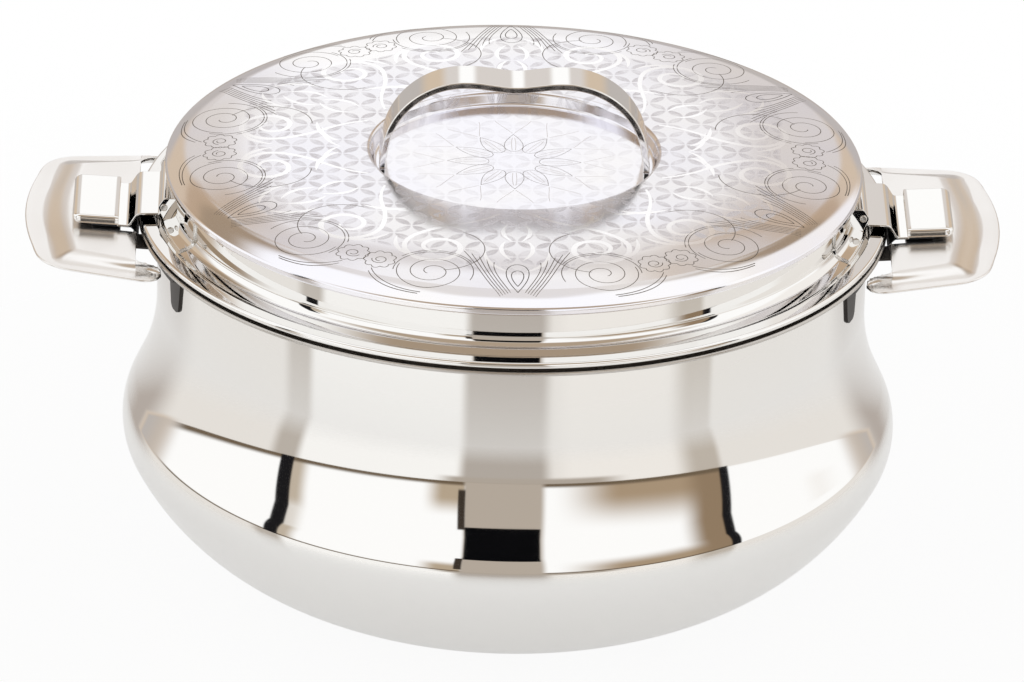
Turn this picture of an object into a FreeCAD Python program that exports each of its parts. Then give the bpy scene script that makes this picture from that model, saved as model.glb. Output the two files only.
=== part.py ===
"""Insulated chapati casserole: a double-walled steel pot, a lift-off lid and two hinged side latches.

Frame: +Z up, +X along the two side handles, origin on the standing face under the middle of the pot.
Millimetres. Every size is one plain number in the sheet "Sizes"; all other lengths are expressions of them.
"""
import FreeCAD, Part
import math
import os
import re
import Sketcher

os.makedirs("parts", exist_ok=True)
doc = FreeCAD.newDocument("casserole")
Vector = FreeCAD.Vector
Z_AXIS = Vector(0, 0, 1)
FULL_TURN = 360

# ---------------------------------------------------------------- driving dimensions

SIZES = {
    "pot shell": {
        "rim_height": 135.8, "neck_radius": 127.5, "rim_overhang": 7.0, "shell_sheet": 0.5,
        "liner_sheet": 0.5, "rim_bend": 0.7, "hem_leg": 3.4, "hem_play": 0.3, "neck_bend": 1.4,
        "shoulder_rise": 31.0, "shoulder_bend": 75.9, "belly_swell": 14.6, "belly_rise": 32.4,
        "belly_bend": 21.1, "belly_tuck": 17.3, "bowl_height": 23.5, "bowl_bend": 87.2,
        "bowl_tuck": 41.1,
        "foot_bend": 75.8, "foot_ring": 27.7, "punt_depth": 3.5, "punt_bend": 1.6,
        "fill_hole_radius": 8.0, "base_plate_margin": 8.0, "base_plate_sheet": 0.8,
    },
    "pot liner": {
        "wall": 6.0, "mouth_bend": 2.5, "bowl_draft": 8.5, "floor_foam": 16.0, "floor_bend": 26.0,
    },
    "lid": {
        "lid_gap": 1.1, "lid_sheet": 0.6, "lip_inset": 0.2, "lip_thick": 2.5, "lip_bend": 1.05,
        "lip_leg": 5.1, "lip_fall": 0.2, "lip_width": 7.1, "lip_crown_reach": 2.2, "lip_crown_bend": 1.5,
        "crease_drop": 0.6, "crease_bend": 0.9, "flare_reach": 6.2, "flare_rise": 1.6, "flare_bend": 4.0,
        "band_height": 13.2, "band_bend": 0.7, "edge_overhang": 4.0, "edge_rise": 2.0, "edge_bend": 1.6,
        "edge_hem_bend": 0.9, "edge_play": 0.3, "edge_slope_reach": 5.5, "edge_slope_rise": 3.1,
        "crown_slope_reach": 27.5, "crown_slope_bend": 20.0, "crown_rise": 2.5, "crown_bend": 400.0,
        "dish_radius": 51.6, "dish_draft": 1.2, "dish_depth": 4.9, "dish_lip_bend": 1.8,
        "dish_floor_bend": 1.4,
        "plug_play": 2.0, "plug_depth": 13.5, "plug_bend": 4.0, "plug_neck_bend": 2.0,
        "lid_liner_sheet": 0.5,
        "seal_inset": 1.9, "seal_play": 0.1, "seal_bend": 0.4, "seal_side_play": 0.3,
        "seal_groove_half": 0.8, "seal_groove": 0.7,
    },
    "strap": {
        "strap_foot_inset": 2.0, "strap_foot": 3.0, "strap_lean": 5.4, "strap_height": 33.8,
        "strap_foot_bend": 12.0, "strap_shoulder_bend_share": 0.6977, "strap_hump_share": 0.3256,
        "strap_hump_bend_share": 1.0465, "strap_dip": 1.9, "strap_dip_bend": 30.0,
        "strap_sheet": 2.4, "strap_width": 16.0,
    },
    "side handle": {
        "handle_length": 43.5, "handle_tilt": 3.5, "handle_sheet": 0.8, "plateau_drop": 0.9,
        "handle_root_half": 56.0, "handle_root_inset": 9.5, "handle_root_bend": 8.0,
        "handle_tip_half": 47.5, "handle_tip": 33.5, "handle_tip_bend": 16.0, "handle_apex_bend": 140.0,
        "flange_root": 7.4, "flange_side": 3.9, "flange_tip": 5.5, "flange_end": 9.4, "step_bend": 5.0,
        "slope_root": 1.0, "slope_side": 5.0, "slope_tip": 5.5, "slope_end": 6.0, "plateau_bend": 3.0,
        "plateau_rise": 2.6, "rim_play": 0.5, "claw_notch_side": 0.6, "claw_notch_length": 6.0,
    },
    "handle bracket": {
        "bracket_sheet": 0.8, "bracket_stand": 3.3, "bracket_half": 50.2, "bracket_drop": 7.2,
        "bracket_bend": 2.4, "bracket_shelf_half": 30.0, "bracket_shelf_length": 15.5,
        "tongue_middle": 44.0, "tongue_half": 6.2, "tongue_taper": 2.8, "tongue_drop": 20.0,
        "tongue_bend": 2.6, "tongue_sheet": 0.8,
    },
    "latch": {
        "pin_radius": 0.8, "pin_stand": 3.9, "pin_rise": 5.4, "pin_play": 0.15, "pin_head_radius": 1.3,
        "pin_head_thick": 0.5, "lever_sheet": 0.8, "lever_half": 18.4,
        "saddle_rise": 1.9, "saddle_bend": 1.3, "hump_inset": 0.1, "hump_fall": 0.2, "hump_bend": 2.2,
        "valley_out": 2.7, "valley_rise": 0.5, "valley_bend": 2.4, "tab_length": 20.1,
        "tab_rise": 1.1, "tab_lean": 0.3, "tab_thick": 3.75, "tab_bend": 1.6, "tab_return": 16.5,
        "tab_return_fall": 0.9,
        "ear_play": 0.4, "ear_sheet": 0.8, "ear_nose": 2.2, "ear_rise": 3.4, "ear_fall": 4.8,
        "ear_root": 3.0, "ear_bend": 1.2,
        "strip_sheet": 0.8, "strip_margin": 4.6, "strip_spread": 41.0, "strip_foot_margin": 0.8,
    },
    "claw": {
        "claw_sheet": 0.5, "claw_side": 0.9, "claw_length": 13.3, "claw_play": 2.1,
        "claw_drop_bend": 1.2, "claw_bite": 1.0, "claw_nose_drop": 0.9, "claw_nose_bend": 0.8,
        "claw_lead": 2.2, "claw_lead_drop": 2.0,
        "rivet_radius": 0.9, "rivet_out": 8.8, "rivet_half_pitch": 6.0, "rivet_head_radius": 1.7,
        "rivet_head_thick": 0.45, "rivet_play": 0.04,
    },
}

# Lengths that follow from the sizes: radii and reaches from the pot's axis, heights from the standing face.
DERIVED = {
    "rim_radius": "neck_radius + rim_overhang",
    "flange_under": "rim_height - liner_sheet - shell_sheet",
    "hem_bottom": "flange_under - liner_sheet",
    "belly_radius": "neck_radius + belly_swell",
    "bowl_radius": "belly_radius - belly_tuck",
    "foot_radius": "bowl_radius - bowl_tuck",
    "punt_radius": "foot_radius - foot_ring",
    "belly_height": "bowl_height + belly_rise",
    "shoulder_height": "belly_height + shoulder_rise",
    "base_plate_radius": "punt_radius - base_plate_margin",
    "mouth_radius": "neck_radius - wall",
    "floor_radius": "mouth_radius - bowl_draft",
    "floor_height": "punt_depth + shell_sheet + floor_foam",
    "lip_radius": "rim_radius - lip_inset",
    "lip_bottom": "rim_height + lid_gap",
    "lip_top": "lip_bottom + lip_thick",
    "crease_radius": "lip_radius - lip_width",
    "crease_height": "lip_top - crease_drop",
    "lip_crown_radius": "crease_radius + lip_crown_reach",
    "flare_height": "crease_height + flare_rise",
    "band_radius": "crease_radius - flare_reach",
    "band_top": "flare_height + band_height",
    "edge_radius": "band_radius + edge_overhang",
    "edge_under": "band_top - lid_sheet",
    "edge_height": "band_top + edge_rise",
    "crown_slope_radius": "edge_radius - edge_slope_reach",
    "crown_slope_height": "edge_height + edge_slope_rise",
    "crown_radius": "crown_slope_radius - crown_slope_reach",
    "crown_height": "crown_slope_height + crown_rise",
    "dish_floor_radius": "dish_radius - dish_draft",
    "dish_floor_height": "crown_height - dish_depth",
    "liner_under": "lip_bottom + lid_sheet",
    "plug_under": "liner_under - plug_depth",
    "plug_radius": "mouth_radius - plug_play",
    "seal_under": "rim_height + seal_play",
    "seal_inner_radius": "mouth_radius + seal_inset",
    "seal_outer_radius": "lip_radius - lip_leg - seal_side_play",
    "seal_middle_radius": "(seal_inner_radius + seal_outer_radius)/2",
    "strap_foot_reach": "dish_floor_radius - strap_foot_inset",
    "strap_lean_reach": "strap_foot_reach - strap_lean",
    "strap_top": "dish_floor_height + strap_height",
    "strap_shoulder_bend": "strap_shoulder_bend_share*strap_lean_reach",
    "strap_hump_reach": "strap_hump_share*strap_lean_reach",
    "strap_hump_bend": "strap_hump_bend_share*strap_lean_reach",
    "plateau_height": "rim_height - plateau_drop",
    "step_root_half": "handle_root_half - flange_root",
    "step_tip_half": "handle_tip_half - flange_side",
    "step_tip": "handle_tip - flange_tip",
    "step_length": "handle_length - flange_end",
    "plateau_root_half": "step_root_half - slope_root",
    "plateau_tip_half": "step_tip_half - slope_side",
    "plateau_tip": "step_tip - slope_tip",
    "plateau_length": "step_length - slope_end",
    "bracket_top": "plateau_height - 2*handle_sheet",
    "bracket_low": "rim_height - bracket_drop",
    "tongue_low": "rim_height - tongue_drop",
    "claw_notch_half": "lever_half + claw_notch_side",
    "claw_notch_reach": "rim_radius + claw_notch_length",
    "pin_reach": "band_radius + pin_stand",
    "pin_height": "lip_top + pin_rise",
    "knuckle": "pin_radius + pin_play",
    "saddle_height": "lip_top + saddle_rise",
    "hump_reach": "lip_radius - hump_inset",
    "valley_reach": "rim_radius + valley_out",
    "valley_height": "rim_height + valley_rise",
    "tab_reach": "valley_reach + tab_length",
    "tab_top": "valley_height + tab_rise + tab_thick",
    "tab_mouth_reach": "tab_reach + tab_lean - tab_return",
    "tab_slope": "atan(tab_rise/tab_length)",
    "ear_top": "pin_height + ear_rise",
    "ear_foot": "pin_height - ear_fall",
    "ear_inner": "lever_half + ear_play",
    "ear_outer": "ear_inner + ear_sheet",
    "strip_top": "band_top - strip_margin",
    "strip_foot_radius": "crease_radius - strip_foot_margin",
    "strip_foot_height": "flare_height - flare_rise*(strip_foot_radius - band_radius)/flare_reach",
    "claw_half": "lever_half - claw_side",
    "claw_tail_reach": "valley_reach + claw_length",
    "claw_drop_reach": "rim_radius + claw_play",
    "claw_nose_reach": "rim_radius - claw_bite",
    "claw_nose_height": "hem_bottom - claw_nose_drop",
    "claw_lead_reach": "claw_nose_reach + claw_lead",
    "claw_lead_height": "claw_nose_height - claw_lead_drop",
    "rivet_reach": "valley_reach + rivet_out",
}

sheet = doc.addObject("Spreadsheet::Sheet", "Sizes")
ALIASES = set()
row = 1
for group, cells in SIZES.items():
    sheet.set(f"A{row}", group)
    row += 1
    for alias, value in cells.items():
        sheet.set(f"A{row}", alias.replace("_", " "))
        sheet.set(f"B{row}", str(value))
        sheet.setAlias(f"B{row}", alias)
        ALIASES.add(alias)
        row += 1
doc.recompute()


def bound(text):
    """The expression with every derived length written out and every size in it pointed at its cell."""
    def spelled(word):
        if word[0] in DERIVED:
            return f"({bound(DERIVED[word[0]])})"
        return f"Sizes.{word[0]}" if word[0] in ALIASES else word[0]
    return re.sub(r"[a-z]\w*", spelled, str(text))


def number(text):
    """What an expression of the sizes is worth now."""
    return float(sheet.evalExpression(bound(text)))


# ---------------------------------------------------------------- sketches

def pin_point(sketch, shape, place, across, up):
    """Hold one point of the sketch at the two expressions, measured from the origin."""
    for kind, text, axis in (("DistanceX", across, -2), ("DistanceY", up, -1)):
        worth = number(text)
        if abs(worth) < 1e-9:
            sketch.addConstraint(Sketcher.Constraint("PointOnObject", shape, place, axis))
            continue
        ends = (-1, 1, shape, place) if worth > 0 else (shape, place, -1, 1)
        index = sketch.addConstraint(Sketcher.Constraint(kind, *ends, abs(worth)))
        sketch.setExpression(f"Constraints[{index}]", bound(text if worth > 0 else f"-({text})"))


def draw(sketch, corners, closed):
    """A line through the corners (across, up[, bend radius]); a corner with a bend radius is rounded.

    Each rounded corner is a construction point that both its lines pass through, with a tangent arc.
    """
    spots = [Vector(number(corner[0]), number(corner[1]), 0) for corner in corners]
    bends = [number(corner[2]) if len(corner) > 2 else 0 for corner in corners]
    count = len(corners)
    starts, ends, arcs = list(spots), list(spots), {}
    for i in range(count):
        if not bends[i]:
            continue
        back = (spots[i - 1] - spots[i]).normalize()
        ahead = (spots[(i + 1) % count] - spots[i]).normalize()
        half = back.getAngle(ahead) / 2
        trim = bends[i] / math.tan(half)
        centre = spots[i] + (back + ahead).normalize() * (bends[i] / math.sin(half))
        ends[i], starts[i] = spots[i] + back * trim, spots[i] + ahead * trim
        left_turn = back.cross(ahead).z < 0
        first, last = (ends[i], starts[i]) if left_turn else (starts[i], ends[i])
        angles = [math.atan2(spot.y - centre.y, spot.x - centre.x) for spot in (first, last)]
        if angles[1] < angles[0]:
            angles[1] += 2 * math.pi
        arc = Part.ArcOfCircle(Part.Circle(centre, Z_AXIS, bends[i]), *angles)
        arcs[i] = (sketch.addGeometry(arc), left_turn)
    lines = {}
    for i in range(count if closed else count - 1):
        line = Part.LineSegment(starts[i], ends[(i + 1) % count])
        lines[i] = sketch.addGeometry(line)
    for i, corner in enumerate(corners):
        before, after = lines.get((i - 1) % count), lines.get(i)
        if not closed and i == 0:
            before = None
        if not bends[i]:
            if before is not None and after is not None:
                sketch.addConstraint(Sketcher.Constraint("Coincident", before, 2, after, 1))
            shape, place = (after, 1) if after is not None else (before, 2)
            pin_point(sketch, shape, place, corner[0], corner[1])
            continue
        vertex = sketch.addGeometry(Part.Point(spots[i]), True)
        pin_point(sketch, vertex, 1, corner[0], corner[1])
        arc, left_turn = arcs[i]
        sketch.addConstraint(Sketcher.Constraint("PointOnObject", vertex, 1, before))
        sketch.addConstraint(Sketcher.Constraint("PointOnObject", vertex, 1, after))
        near, far = (1, 2) if left_turn else (2, 1)
        sketch.addConstraint(Sketcher.Constraint("Tangent", before, 2, arc, near))
        sketch.addConstraint(Sketcher.Constraint("Tangent", arc, far, after, 1))
        index = sketch.addConstraint(Sketcher.Constraint("Radius", arc, bends[i]))
        sketch.setExpression(f"Constraints[{index}]", bound(corner[2]))


def upright_sketch(name, corners, closed=False):
    """A sketch in the XZ plane: across is +X, up is +Z."""
    sketch = doc.addObject("Sketcher::SketchObject", name)
    sketch.Placement = FreeCAD.Placement(Vector(0, 0, 0), FreeCAD.Rotation(Vector(1, 0, 0), 90))
    draw(sketch, corners, closed)
    return sketch


# ---------------------------------------------------------------- solids

def sheet_section(name, corners, thickness, side=1):
    """The cross-section of bent sheet: the path and its offset, filled between. Side 1 is its left."""
    section = doc.addObject("Part::Offset2D", f"{name}_section")
    section.Source = upright_sketch(f"{name}_path", corners)
    section.Mode = "Skin"
    section.Join = "Intersection"
    section.Fill = True
    section.setExpression("Value", bound(thickness))
    section.Source.recompute()
    section.recompute()
    # An open path has no side of its own, so the sign is set by a point that must lie within the sheet.
    start, end = (Vector(number(corner[0]), 0, number(corner[1])) for corner in corners[:2])
    inward = (end - start).normalize().cross(Vector(0, 1, 0)) * (side * number(thickness) / 2)
    probe = Part.Vertex(start + (end - start) * 0.02 + inward)
    if section.Shape.distToShape(probe)[0] > number(thickness) / 4:
        section.setExpression("Value", f"-({bound(thickness)})")
    return section


def revolve(name, section, angle=FULL_TURN):
    """The section turned about Z."""
    solid = doc.addObject("Part::Revolution", name)
    solid.Source = section
    solid.Axis = Z_AXIS
    solid.Base = Vector(0, 0, 0)
    solid.Solid = True
    if angle == FULL_TURN:
        solid.Angle = angle
    else:
        solid.setExpression("Angle", bound(angle))
    return solid


def spun(name, corners, thickness, side=1):
    """Sheet metal spun about Z from the path of its outer face."""
    return revolve(name, sheet_section(name, corners, thickness, side))


def turned_body(name, corners):
    """A PartDesign body revolved about Z from a closed outline."""
    body = doc.addObject("PartDesign::Body", name)
    sketch = body.newObject("Sketcher::SketchObject", f"{name}_outline")
    plane = next(item for item in body.Origin.OriginFeatures if item.Role == "XZ_Plane")
    sketch.AttachmentSupport = [(plane, "")]
    sketch.MapMode = "FlatFace"
    draw(sketch, corners, True)
    turn = body.newObject("PartDesign::Revolution", f"{name}_turn")
    turn.Profile = sketch
    turn.ReferenceAxis = (sketch, ["V_Axis"])
    turn.Angle = FULL_TURN
    return body


def extruded(name, source, width, offset="0"):
    """The section drawn out along Y, evenly about the offset."""
    solid = doc.addObject("Part::Extrusion", name)
    solid.Base = source
    solid.DirMode = "Custom"
    solid.Dir = Vector(0, 1, 0)
    solid.Solid = True
    solid.Symmetric = True
    solid.setExpression("LengthFwd", bound(width))
    solid.setExpression("Placement.Base.y", bound(offset))
    return solid


def cylinder(name, radius, height, base="0"):
    solid = doc.addObject("Part::Cylinder", name)
    solid.setExpression("Radius", bound(radius))
    solid.setExpression("Height", bound(height))
    solid.setExpression("Placement.Base.z", bound(base))
    return solid


def box(name, across, along, up):
    """A box between pairs of expressions (low, high) along X, Y and Z."""
    solid = doc.addObject("Part::Box", name)
    for size, axis, (low, high) in (("Length", "x", across), ("Width", "y", along), ("Height", "z", up)):
        solid.setExpression(size, bound(f"({high}) - ({low})"))
        solid.setExpression(f"Placement.Base.{axis}", bound(low))
    return solid


def cut(name, base, *tools):
    for count, tool in enumerate(tools, 1):
        result = doc.addObject("Part::Cut", name if count == len(tools) else f"{name}_cut{count}")
        result.Base, result.Tool = base, tool
        base = result
    return base


def fuse(name, *pieces):
    result = doc.addObject("Part::MultiFuse", name)
    result.Shapes = list(pieces)
    result.Refine = True
    return result


def common(name, *pieces):
    result = doc.addObject("Part::MultiCommon", name)
    result.Shapes = list(pieces)
    return result


def other_side(name, source):
    """The same piece on the other side of the pot: its mirror image in the YZ plane."""
    result = doc.addObject("Part::Mirroring", name)
    result.Source = source
    result.Normal = Vector(1, 0, 0)
    return result


NODES = {}


def keep(name, solid):
    solid.Label = name
    NODES[name] = solid
    return solid

# ---------------------------------------------------------------- pot


shell_outside = [
    ("rim_radius - liner_sheet - hem_play", "flange_under"),
    ("neck_radius", "flange_under", "neck_bend"),
    ("neck_radius", "shoulder_height", "shoulder_bend"),
    ("belly_radius", "belly_height", "belly_bend"),
    ("bowl_radius", "bowl_height", "bowl_bend"),
    ("foot_radius", "0", "foot_bend"),
    ("punt_radius", "0", "punt_bend"),
    ("punt_radius - punt_depth/2", "punt_depth", "punt_bend"),
    ("0", "punt_depth"),
]
bowl_inside = [
    ("mouth_radius", "rim_height", "mouth_bend"),
    ("floor_radius", "floor_height", "floor_bend"),
    ("0", "floor_height"),
]
rim_hem = [
    ("rim_radius - hem_leg", "hem_bottom"),
    ("rim_radius", "hem_bottom", "rim_bend"),
    ("rim_radius", "rim_height", "rim_bend"),
]

fill_hole = cylinder("fill_hole", "fill_hole_radius", "punt_depth*2", "0")
shell = spun("shell", shell_outside, "shell_sheet", -1)
outer_shell = keep("outer_shell", cut("outer_shell", shell, fill_hole))
inner_liner = keep("inner_liner", spun("inner_liner", rim_hem + bowl_inside, "liner_sheet"))

# The foam is all that the shell encloses, less the sheets and the bowl.
shell_filled = turned_body("shell_filled", shell_outside + [
    ("0", "rim_height - liner_sheet"), ("rim_radius - liner_sheet - hem_play", "rim_height - liner_sheet")])
bowl_space = turned_body("bowl_space", [("rim_radius", "rim_height")] + bowl_inside + [
    ("0", "rim_height + liner_sheet"), ("rim_radius", "rim_height + liner_sheet")])
keep("body_insulation", cut("body_insulation", shell_filled, outer_shell, inner_liner, bowl_space))

keep("base_plate", turned_body("base_plate", [
    ("0", "punt_depth - base_plate_sheet"),
    ("base_plate_radius", "punt_depth - base_plate_sheet", "base_plate_sheet/2"),
    ("base_plate_radius", "punt_depth"),
    ("0", "punt_depth"),
]))

# ---------------------------------------------------------------- lid

crown_outside = [
    ("0", "dish_floor_height"),
    ("dish_floor_radius", "dish_floor_height", "dish_floor_bend"),
    ("dish_radius", "crown_height", "dish_lip_bend"),
    ("crown_radius", "crown_height", "crown_bend"),
    ("crown_slope_radius", "crown_slope_height", "crown_slope_bend"),
    ("edge_radius", "edge_height", "edge_bend"),
]
edge_hem = [
    ("edge_radius", "edge_under", "edge_hem_bend"),
    ("band_radius + band_bend + edge_play", "edge_under"),
]
neck_outside = [
    ("band_radius", "band_top", "band_bend"),
    ("band_radius", "flare_height", "flare_bend"),
    ("crease_radius", "crease_height", "crease_bend"),
    ("lip_crown_radius", "lip_top", "lip_crown_bend"),
]
lip = [
    ("lip_radius", "lip_top - lip_fall", "lip_bend"),
    ("lip_radius", "lip_bottom", "lip_bend"),
    ("lip_radius - lip_leg", "lip_bottom"),
]
neck_flange = [("edge_radius - lid_sheet - 2*edge_play", "band_top")]

lid_top = keep("lid_top", spun("lid_top", crown_outside + edge_hem, "lid_sheet", -1))
lid_neck = keep("lid_neck", spun("lid_neck", neck_flange + neck_outside + lip, "lid_sheet", -1))
lid_liner = keep("lid_liner", spun("lid_liner", [
    ("lip_radius - lip_bend", "liner_under"),
    ("plug_radius", "liner_under", "plug_neck_bend"),
    ("plug_radius", "plug_under", "plug_bend"),
    ("0", "plug_under"),
], "lid_liner_sheet", -1))

# The lid's foam is bounded by an outline that runs inside the three sheets, and the sheets are cut from it.
lid_filled = turned_body("lid_filled", crown_outside + [
    ("edge_radius", "band_top + lid_sheet/2"),
    ("band_radius - lid_sheet/2", "band_top + lid_sheet/2"),
    ("band_radius - lid_sheet/2", "flare_height - lid_sheet/2", "flare_bend + lid_sheet/2"),
    ("crease_radius", "crease_height - lid_sheet/2"),
    ("crease_radius", "liner_under + lid_liner_sheet/2"),
    ("plug_radius - lid_liner_sheet/2", "liner_under + lid_liner_sheet/2", "plug_neck_bend"),
    ("plug_radius - lid_liner_sheet/2", "plug_under + lid_liner_sheet/2", "plug_bend"),
    ("0", "plug_under + lid_liner_sheet/2"),
])
keep("lid_insulation", cut("lid_insulation", lid_filled, lid_top, lid_neck, lid_liner))

keep("lid_seal", turned_body("lid_seal", [
    ("seal_inner_radius", "liner_under"),
    ("seal_inner_radius", "seal_under", "seal_bend"),
    ("seal_middle_radius - 2*seal_groove_half", "seal_under", "seal_bend"),
    ("seal_middle_radius - seal_groove_half", "seal_under + seal_groove", "seal_bend"),
    ("seal_middle_radius + seal_groove_half", "seal_under + seal_groove", "seal_bend"),
    ("seal_middle_radius + 2*seal_groove_half", "seal_under", "seal_bend"),
    ("seal_outer_radius", "seal_under", "seal_bend"),
    ("seal_outer_radius", "liner_under"),
]))

strap_half = [
    ("strap_foot_reach", "dish_floor_height"),
    ("strap_foot_reach", "dish_floor_height + strap_foot", "strap_foot_bend"),
    ("strap_lean_reach", "strap_top", "strap_shoulder_bend"),
    ("strap_hump_reach", "strap_top", "strap_hump_bend"),
]
strap_other_half = [(f"-({reach})", *rest) for reach, *rest in reversed(strap_half)]
strap_outside = strap_half + [("0", "strap_top - strap_dip", "strap_dip_bend")] + strap_other_half
keep("strap_handle", extruded("strap_handle", sheet_section("strap", strap_outside, "strap_sheet"),
                              "strap_width"))

# ---------------------------------------------------------------- side handles and their brackets


def plate_sketch(name, corners, drop):
    """A sketch in the handle's tilted plane: across is outward from the rim, drop is below the plateau."""
    sketch = doc.addObject("Sketcher::SketchObject", name)
    sketch.Placement = FreeCAD.Placement(Vector(0, 0, 0), FreeCAD.Rotation(Vector(0, -1, 0), 1))
    sketch.setExpression("Placement.Rotation.Angle", bound("handle_tilt"))
    sketch.setExpression("Placement.Base.x", bound(f"rim_radius + ({drop})*sin(handle_tilt)"))
    sketch.setExpression("Placement.Base.z", bound(f"plateau_height - ({drop})*cos(handle_tilt)"))
    draw(sketch, corners, True)
    return sketch


def handle_outline(root_half, tip_half, tip, tip_bend, length, *root_bend):
    """Two splayed sides, rounded tip corners, a gently bowed end and, if asked, rounded root corners."""
    root = "-handle_root_inset"
    return [
        (root, f"-{root_half}", *root_bend), (tip, f"-{tip_half}", tip_bend),
        (length, "0", "handle_apex_bend"), (tip, tip_half, tip_bend), (root, root_half, *root_bend),
    ]


def slab(name, sketch, thickness):
    """The sketch drawn down from its own plane."""
    solid = doc.addObject("Part::Extrusion", name)
    solid.Base = sketch
    solid.DirMode = "Normal"
    solid.Solid = True
    solid.Reversed = True
    solid.setExpression("LengthFwd", bound(thickness))
    return solid


def raised_pan(name, drop):
    """The step and plateau as a solid whose plateau lies at the drop."""
    step = handle_outline("step_root_half", "step_tip_half", "step_tip", "step_bend", "step_length")
    top = handle_outline("plateau_root_half", "plateau_tip_half", "plateau_tip", "plateau_bend",
                         "plateau_length")
    loft = doc.addObject("Part::Loft", name)
    loft.Sections = [plate_sketch(f"{name}_foot", step, f"plateau_rise + {drop}"),
                     plate_sketch(f"{name}_top", top, drop)]
    loft.Solid = True
    loft.Ruled = True
    return loft


flange = slab("handle_flange", plate_sketch("handle_flange_outline", handle_outline(
    "handle_root_half", "handle_tip_half", "handle_tip", "handle_tip_bend", "handle_length",
    "handle_root_bend"), "plateau_rise"), "handle_sheet")
under_rim = cylinder("under_rim", "rim_radius + rim_play", "plateau_rise*4", "hem_bottom - rim_play")
around_bracket = cylinder("around_bracket", "neck_radius + bracket_stand + rim_play", "plateau_rise*8",
                          "hem_bottom - plateau_rise*4")
claw_notch = box("claw_notch", ("neck_radius - neck_bend", "claw_notch_reach"),
                 ("-claw_notch_half", "claw_notch_half"),
                 ("hem_bottom - plateau_rise", "hem_bottom + plateau_rise"))
handle_right = keep("handle_right", cut(
    "handle_right", fuse("handle_blank", flange, raised_pan("handle_outside", "0")),
    raised_pan("handle_inside", "handle_sheet"), under_rim, around_bracket, claw_notch))


def facing_block(name, middle, half, taper, low, high, bend):
    """A block that faces along +X, narrower below by the taper at each side, its lower corners rounded."""
    sketch = doc.addObject("Sketcher::SketchObject", f"{name}_outline")
    sketch.Placement = FreeCAD.Placement(Vector(0, 0, 0), FreeCAD.Rotation(Vector(1, 1, 1), 120))
    foot = f"({half} - ({taper}))"
    draw(sketch, [(f"{middle} - ({half})", high), (f"{middle} - {foot}", low, bend),
                  (f"{middle} + {foot}", low, bend), (f"{middle} + {half}", high)], True)
    block = doc.addObject("Part::Extrusion", name)
    block.Base = sketch
    block.DirMode = "Custom"
    block.Dir = Vector(1, 0, 0)
    block.Solid = True
    block.setExpression("LengthFwd", bound("rim_radius"))
    return block


def neck_patch(name, radius, *outline):
    """The part of a round of the given radius that lies in the facing block of the outline."""
    return common(name, cylinder(f"{name}_round", radius, "rim_height"),
                  facing_block(f"{name}_block", *outline))


pan_outside = neck_patch("pan_outside", "neck_radius + bracket_stand",
                         "0", "bracket_half", "0", "bracket_low", "bracket_top", "bracket_bend")
pan_inside = neck_patch("pan_inside", "neck_radius + bracket_stand - bracket_sheet",
                        "0", "bracket_half - bracket_sheet", "0", "bracket_low + bracket_sheet",
                        "bracket_top + bracket_sheet", "bracket_bend - bracket_sheet")
tongues = [neck_patch(f"tongue_{side}", "neck_radius + tongue_sheet", f"{sign}tongue_middle",
                      "tongue_half", "tongue_taper", "tongue_low", "bracket_top", "tongue_bend")
           for side, sign in (("front", "-"), ("back", ""))]
shelf = slab("bracket_shelf", plate_sketch("bracket_shelf_outline", [
    ("-handle_root_inset", "-bracket_shelf_half"),
    ("bracket_shelf_length", "-bracket_shelf_half", "2*bracket_bend"),
    ("bracket_shelf_length", "bracket_shelf_half", "2*bracket_bend"),
    ("-handle_root_inset", "bracket_shelf_half")], "handle_sheet"), "bracket_sheet")
neck_space = cylinder("neck_space", "neck_radius", "rim_height*2")
neck_bend_space = cylinder("neck_bend_space", "neck_radius + neck_bend", "rim_height",
                           "flange_under - neck_bend")
bracket_pan = cut("bracket_pan", pan_outside, pan_inside)
keep("handle_bracket_right", cut(
    "handle_bracket_right", fuse("bracket_blank", bracket_pan, shelf, *tongues),
    neck_space, neck_bend_space, claw_notch))

# ---------------------------------------------------------------- latches

lever_underside = [
    ("pin_reach + knuckle", "pin_height"),
    ("pin_reach + knuckle", "saddle_height", "saddle_bend"),
    ("hump_reach", "saddle_height - hump_fall", "hump_bend"),
    ("valley_reach", "valley_height", "valley_bend"),
    ("tab_reach", "valley_height + tab_rise", "tab_bend"),
    ("tab_reach + tab_lean", "tab_top", "tab_bend"),
    ("tab_mouth_reach", "tab_top - tab_return_fall"),
]


def leaf_height(reach):
    """How high the underside of the lever's lower leaf lies at a reach."""
    return f"(valley_height + tab_rise*({reach} - valley_reach)/tab_length)"


def upright_rod(name, radius, low, high, along):
    """A short rod square to the lever's lower leaf, its ends at heights above the leaf's underside."""
    rod = cylinder(name, radius, f"({high}) - ({low})")
    rod.Placement = FreeCAD.Placement(Vector(0, 0, 0), FreeCAD.Rotation(Vector(0, -1, 0), 1))
    rod.setExpression("Placement.Rotation.Angle", bound("tab_slope"))
    rod.setExpression("Placement.Base.x", bound(f"rivet_reach - ({low})*sin(tab_slope)"))
    rod.setExpression("Placement.Base.y", bound(along))
    rod.setExpression("Placement.Base.z", bound(f"{leaf_height('rivet_reach')} + ({low})*cos(tab_slope)"))
    return rod


def cross_rod(name, radius, low, high):
    """A rod along Y on the hinge axis between two expressions."""
    rod = doc.addObject("Part::Cylinder", name)
    rod.Placement = FreeCAD.Placement(Vector(0, 0, 0), FreeCAD.Rotation(Vector(1, 0, 0), -90))
    rod.setExpression("Radius", bound(radius))
    rod.setExpression("Height", bound(f"({high}) - ({low})"))
    rod.setExpression("Placement.Base.x", bound("pin_reach"))
    rod.setExpression("Placement.Base.y", bound(low))
    rod.setExpression("Placement.Base.z", bound("pin_height"))
    return rod


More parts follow.
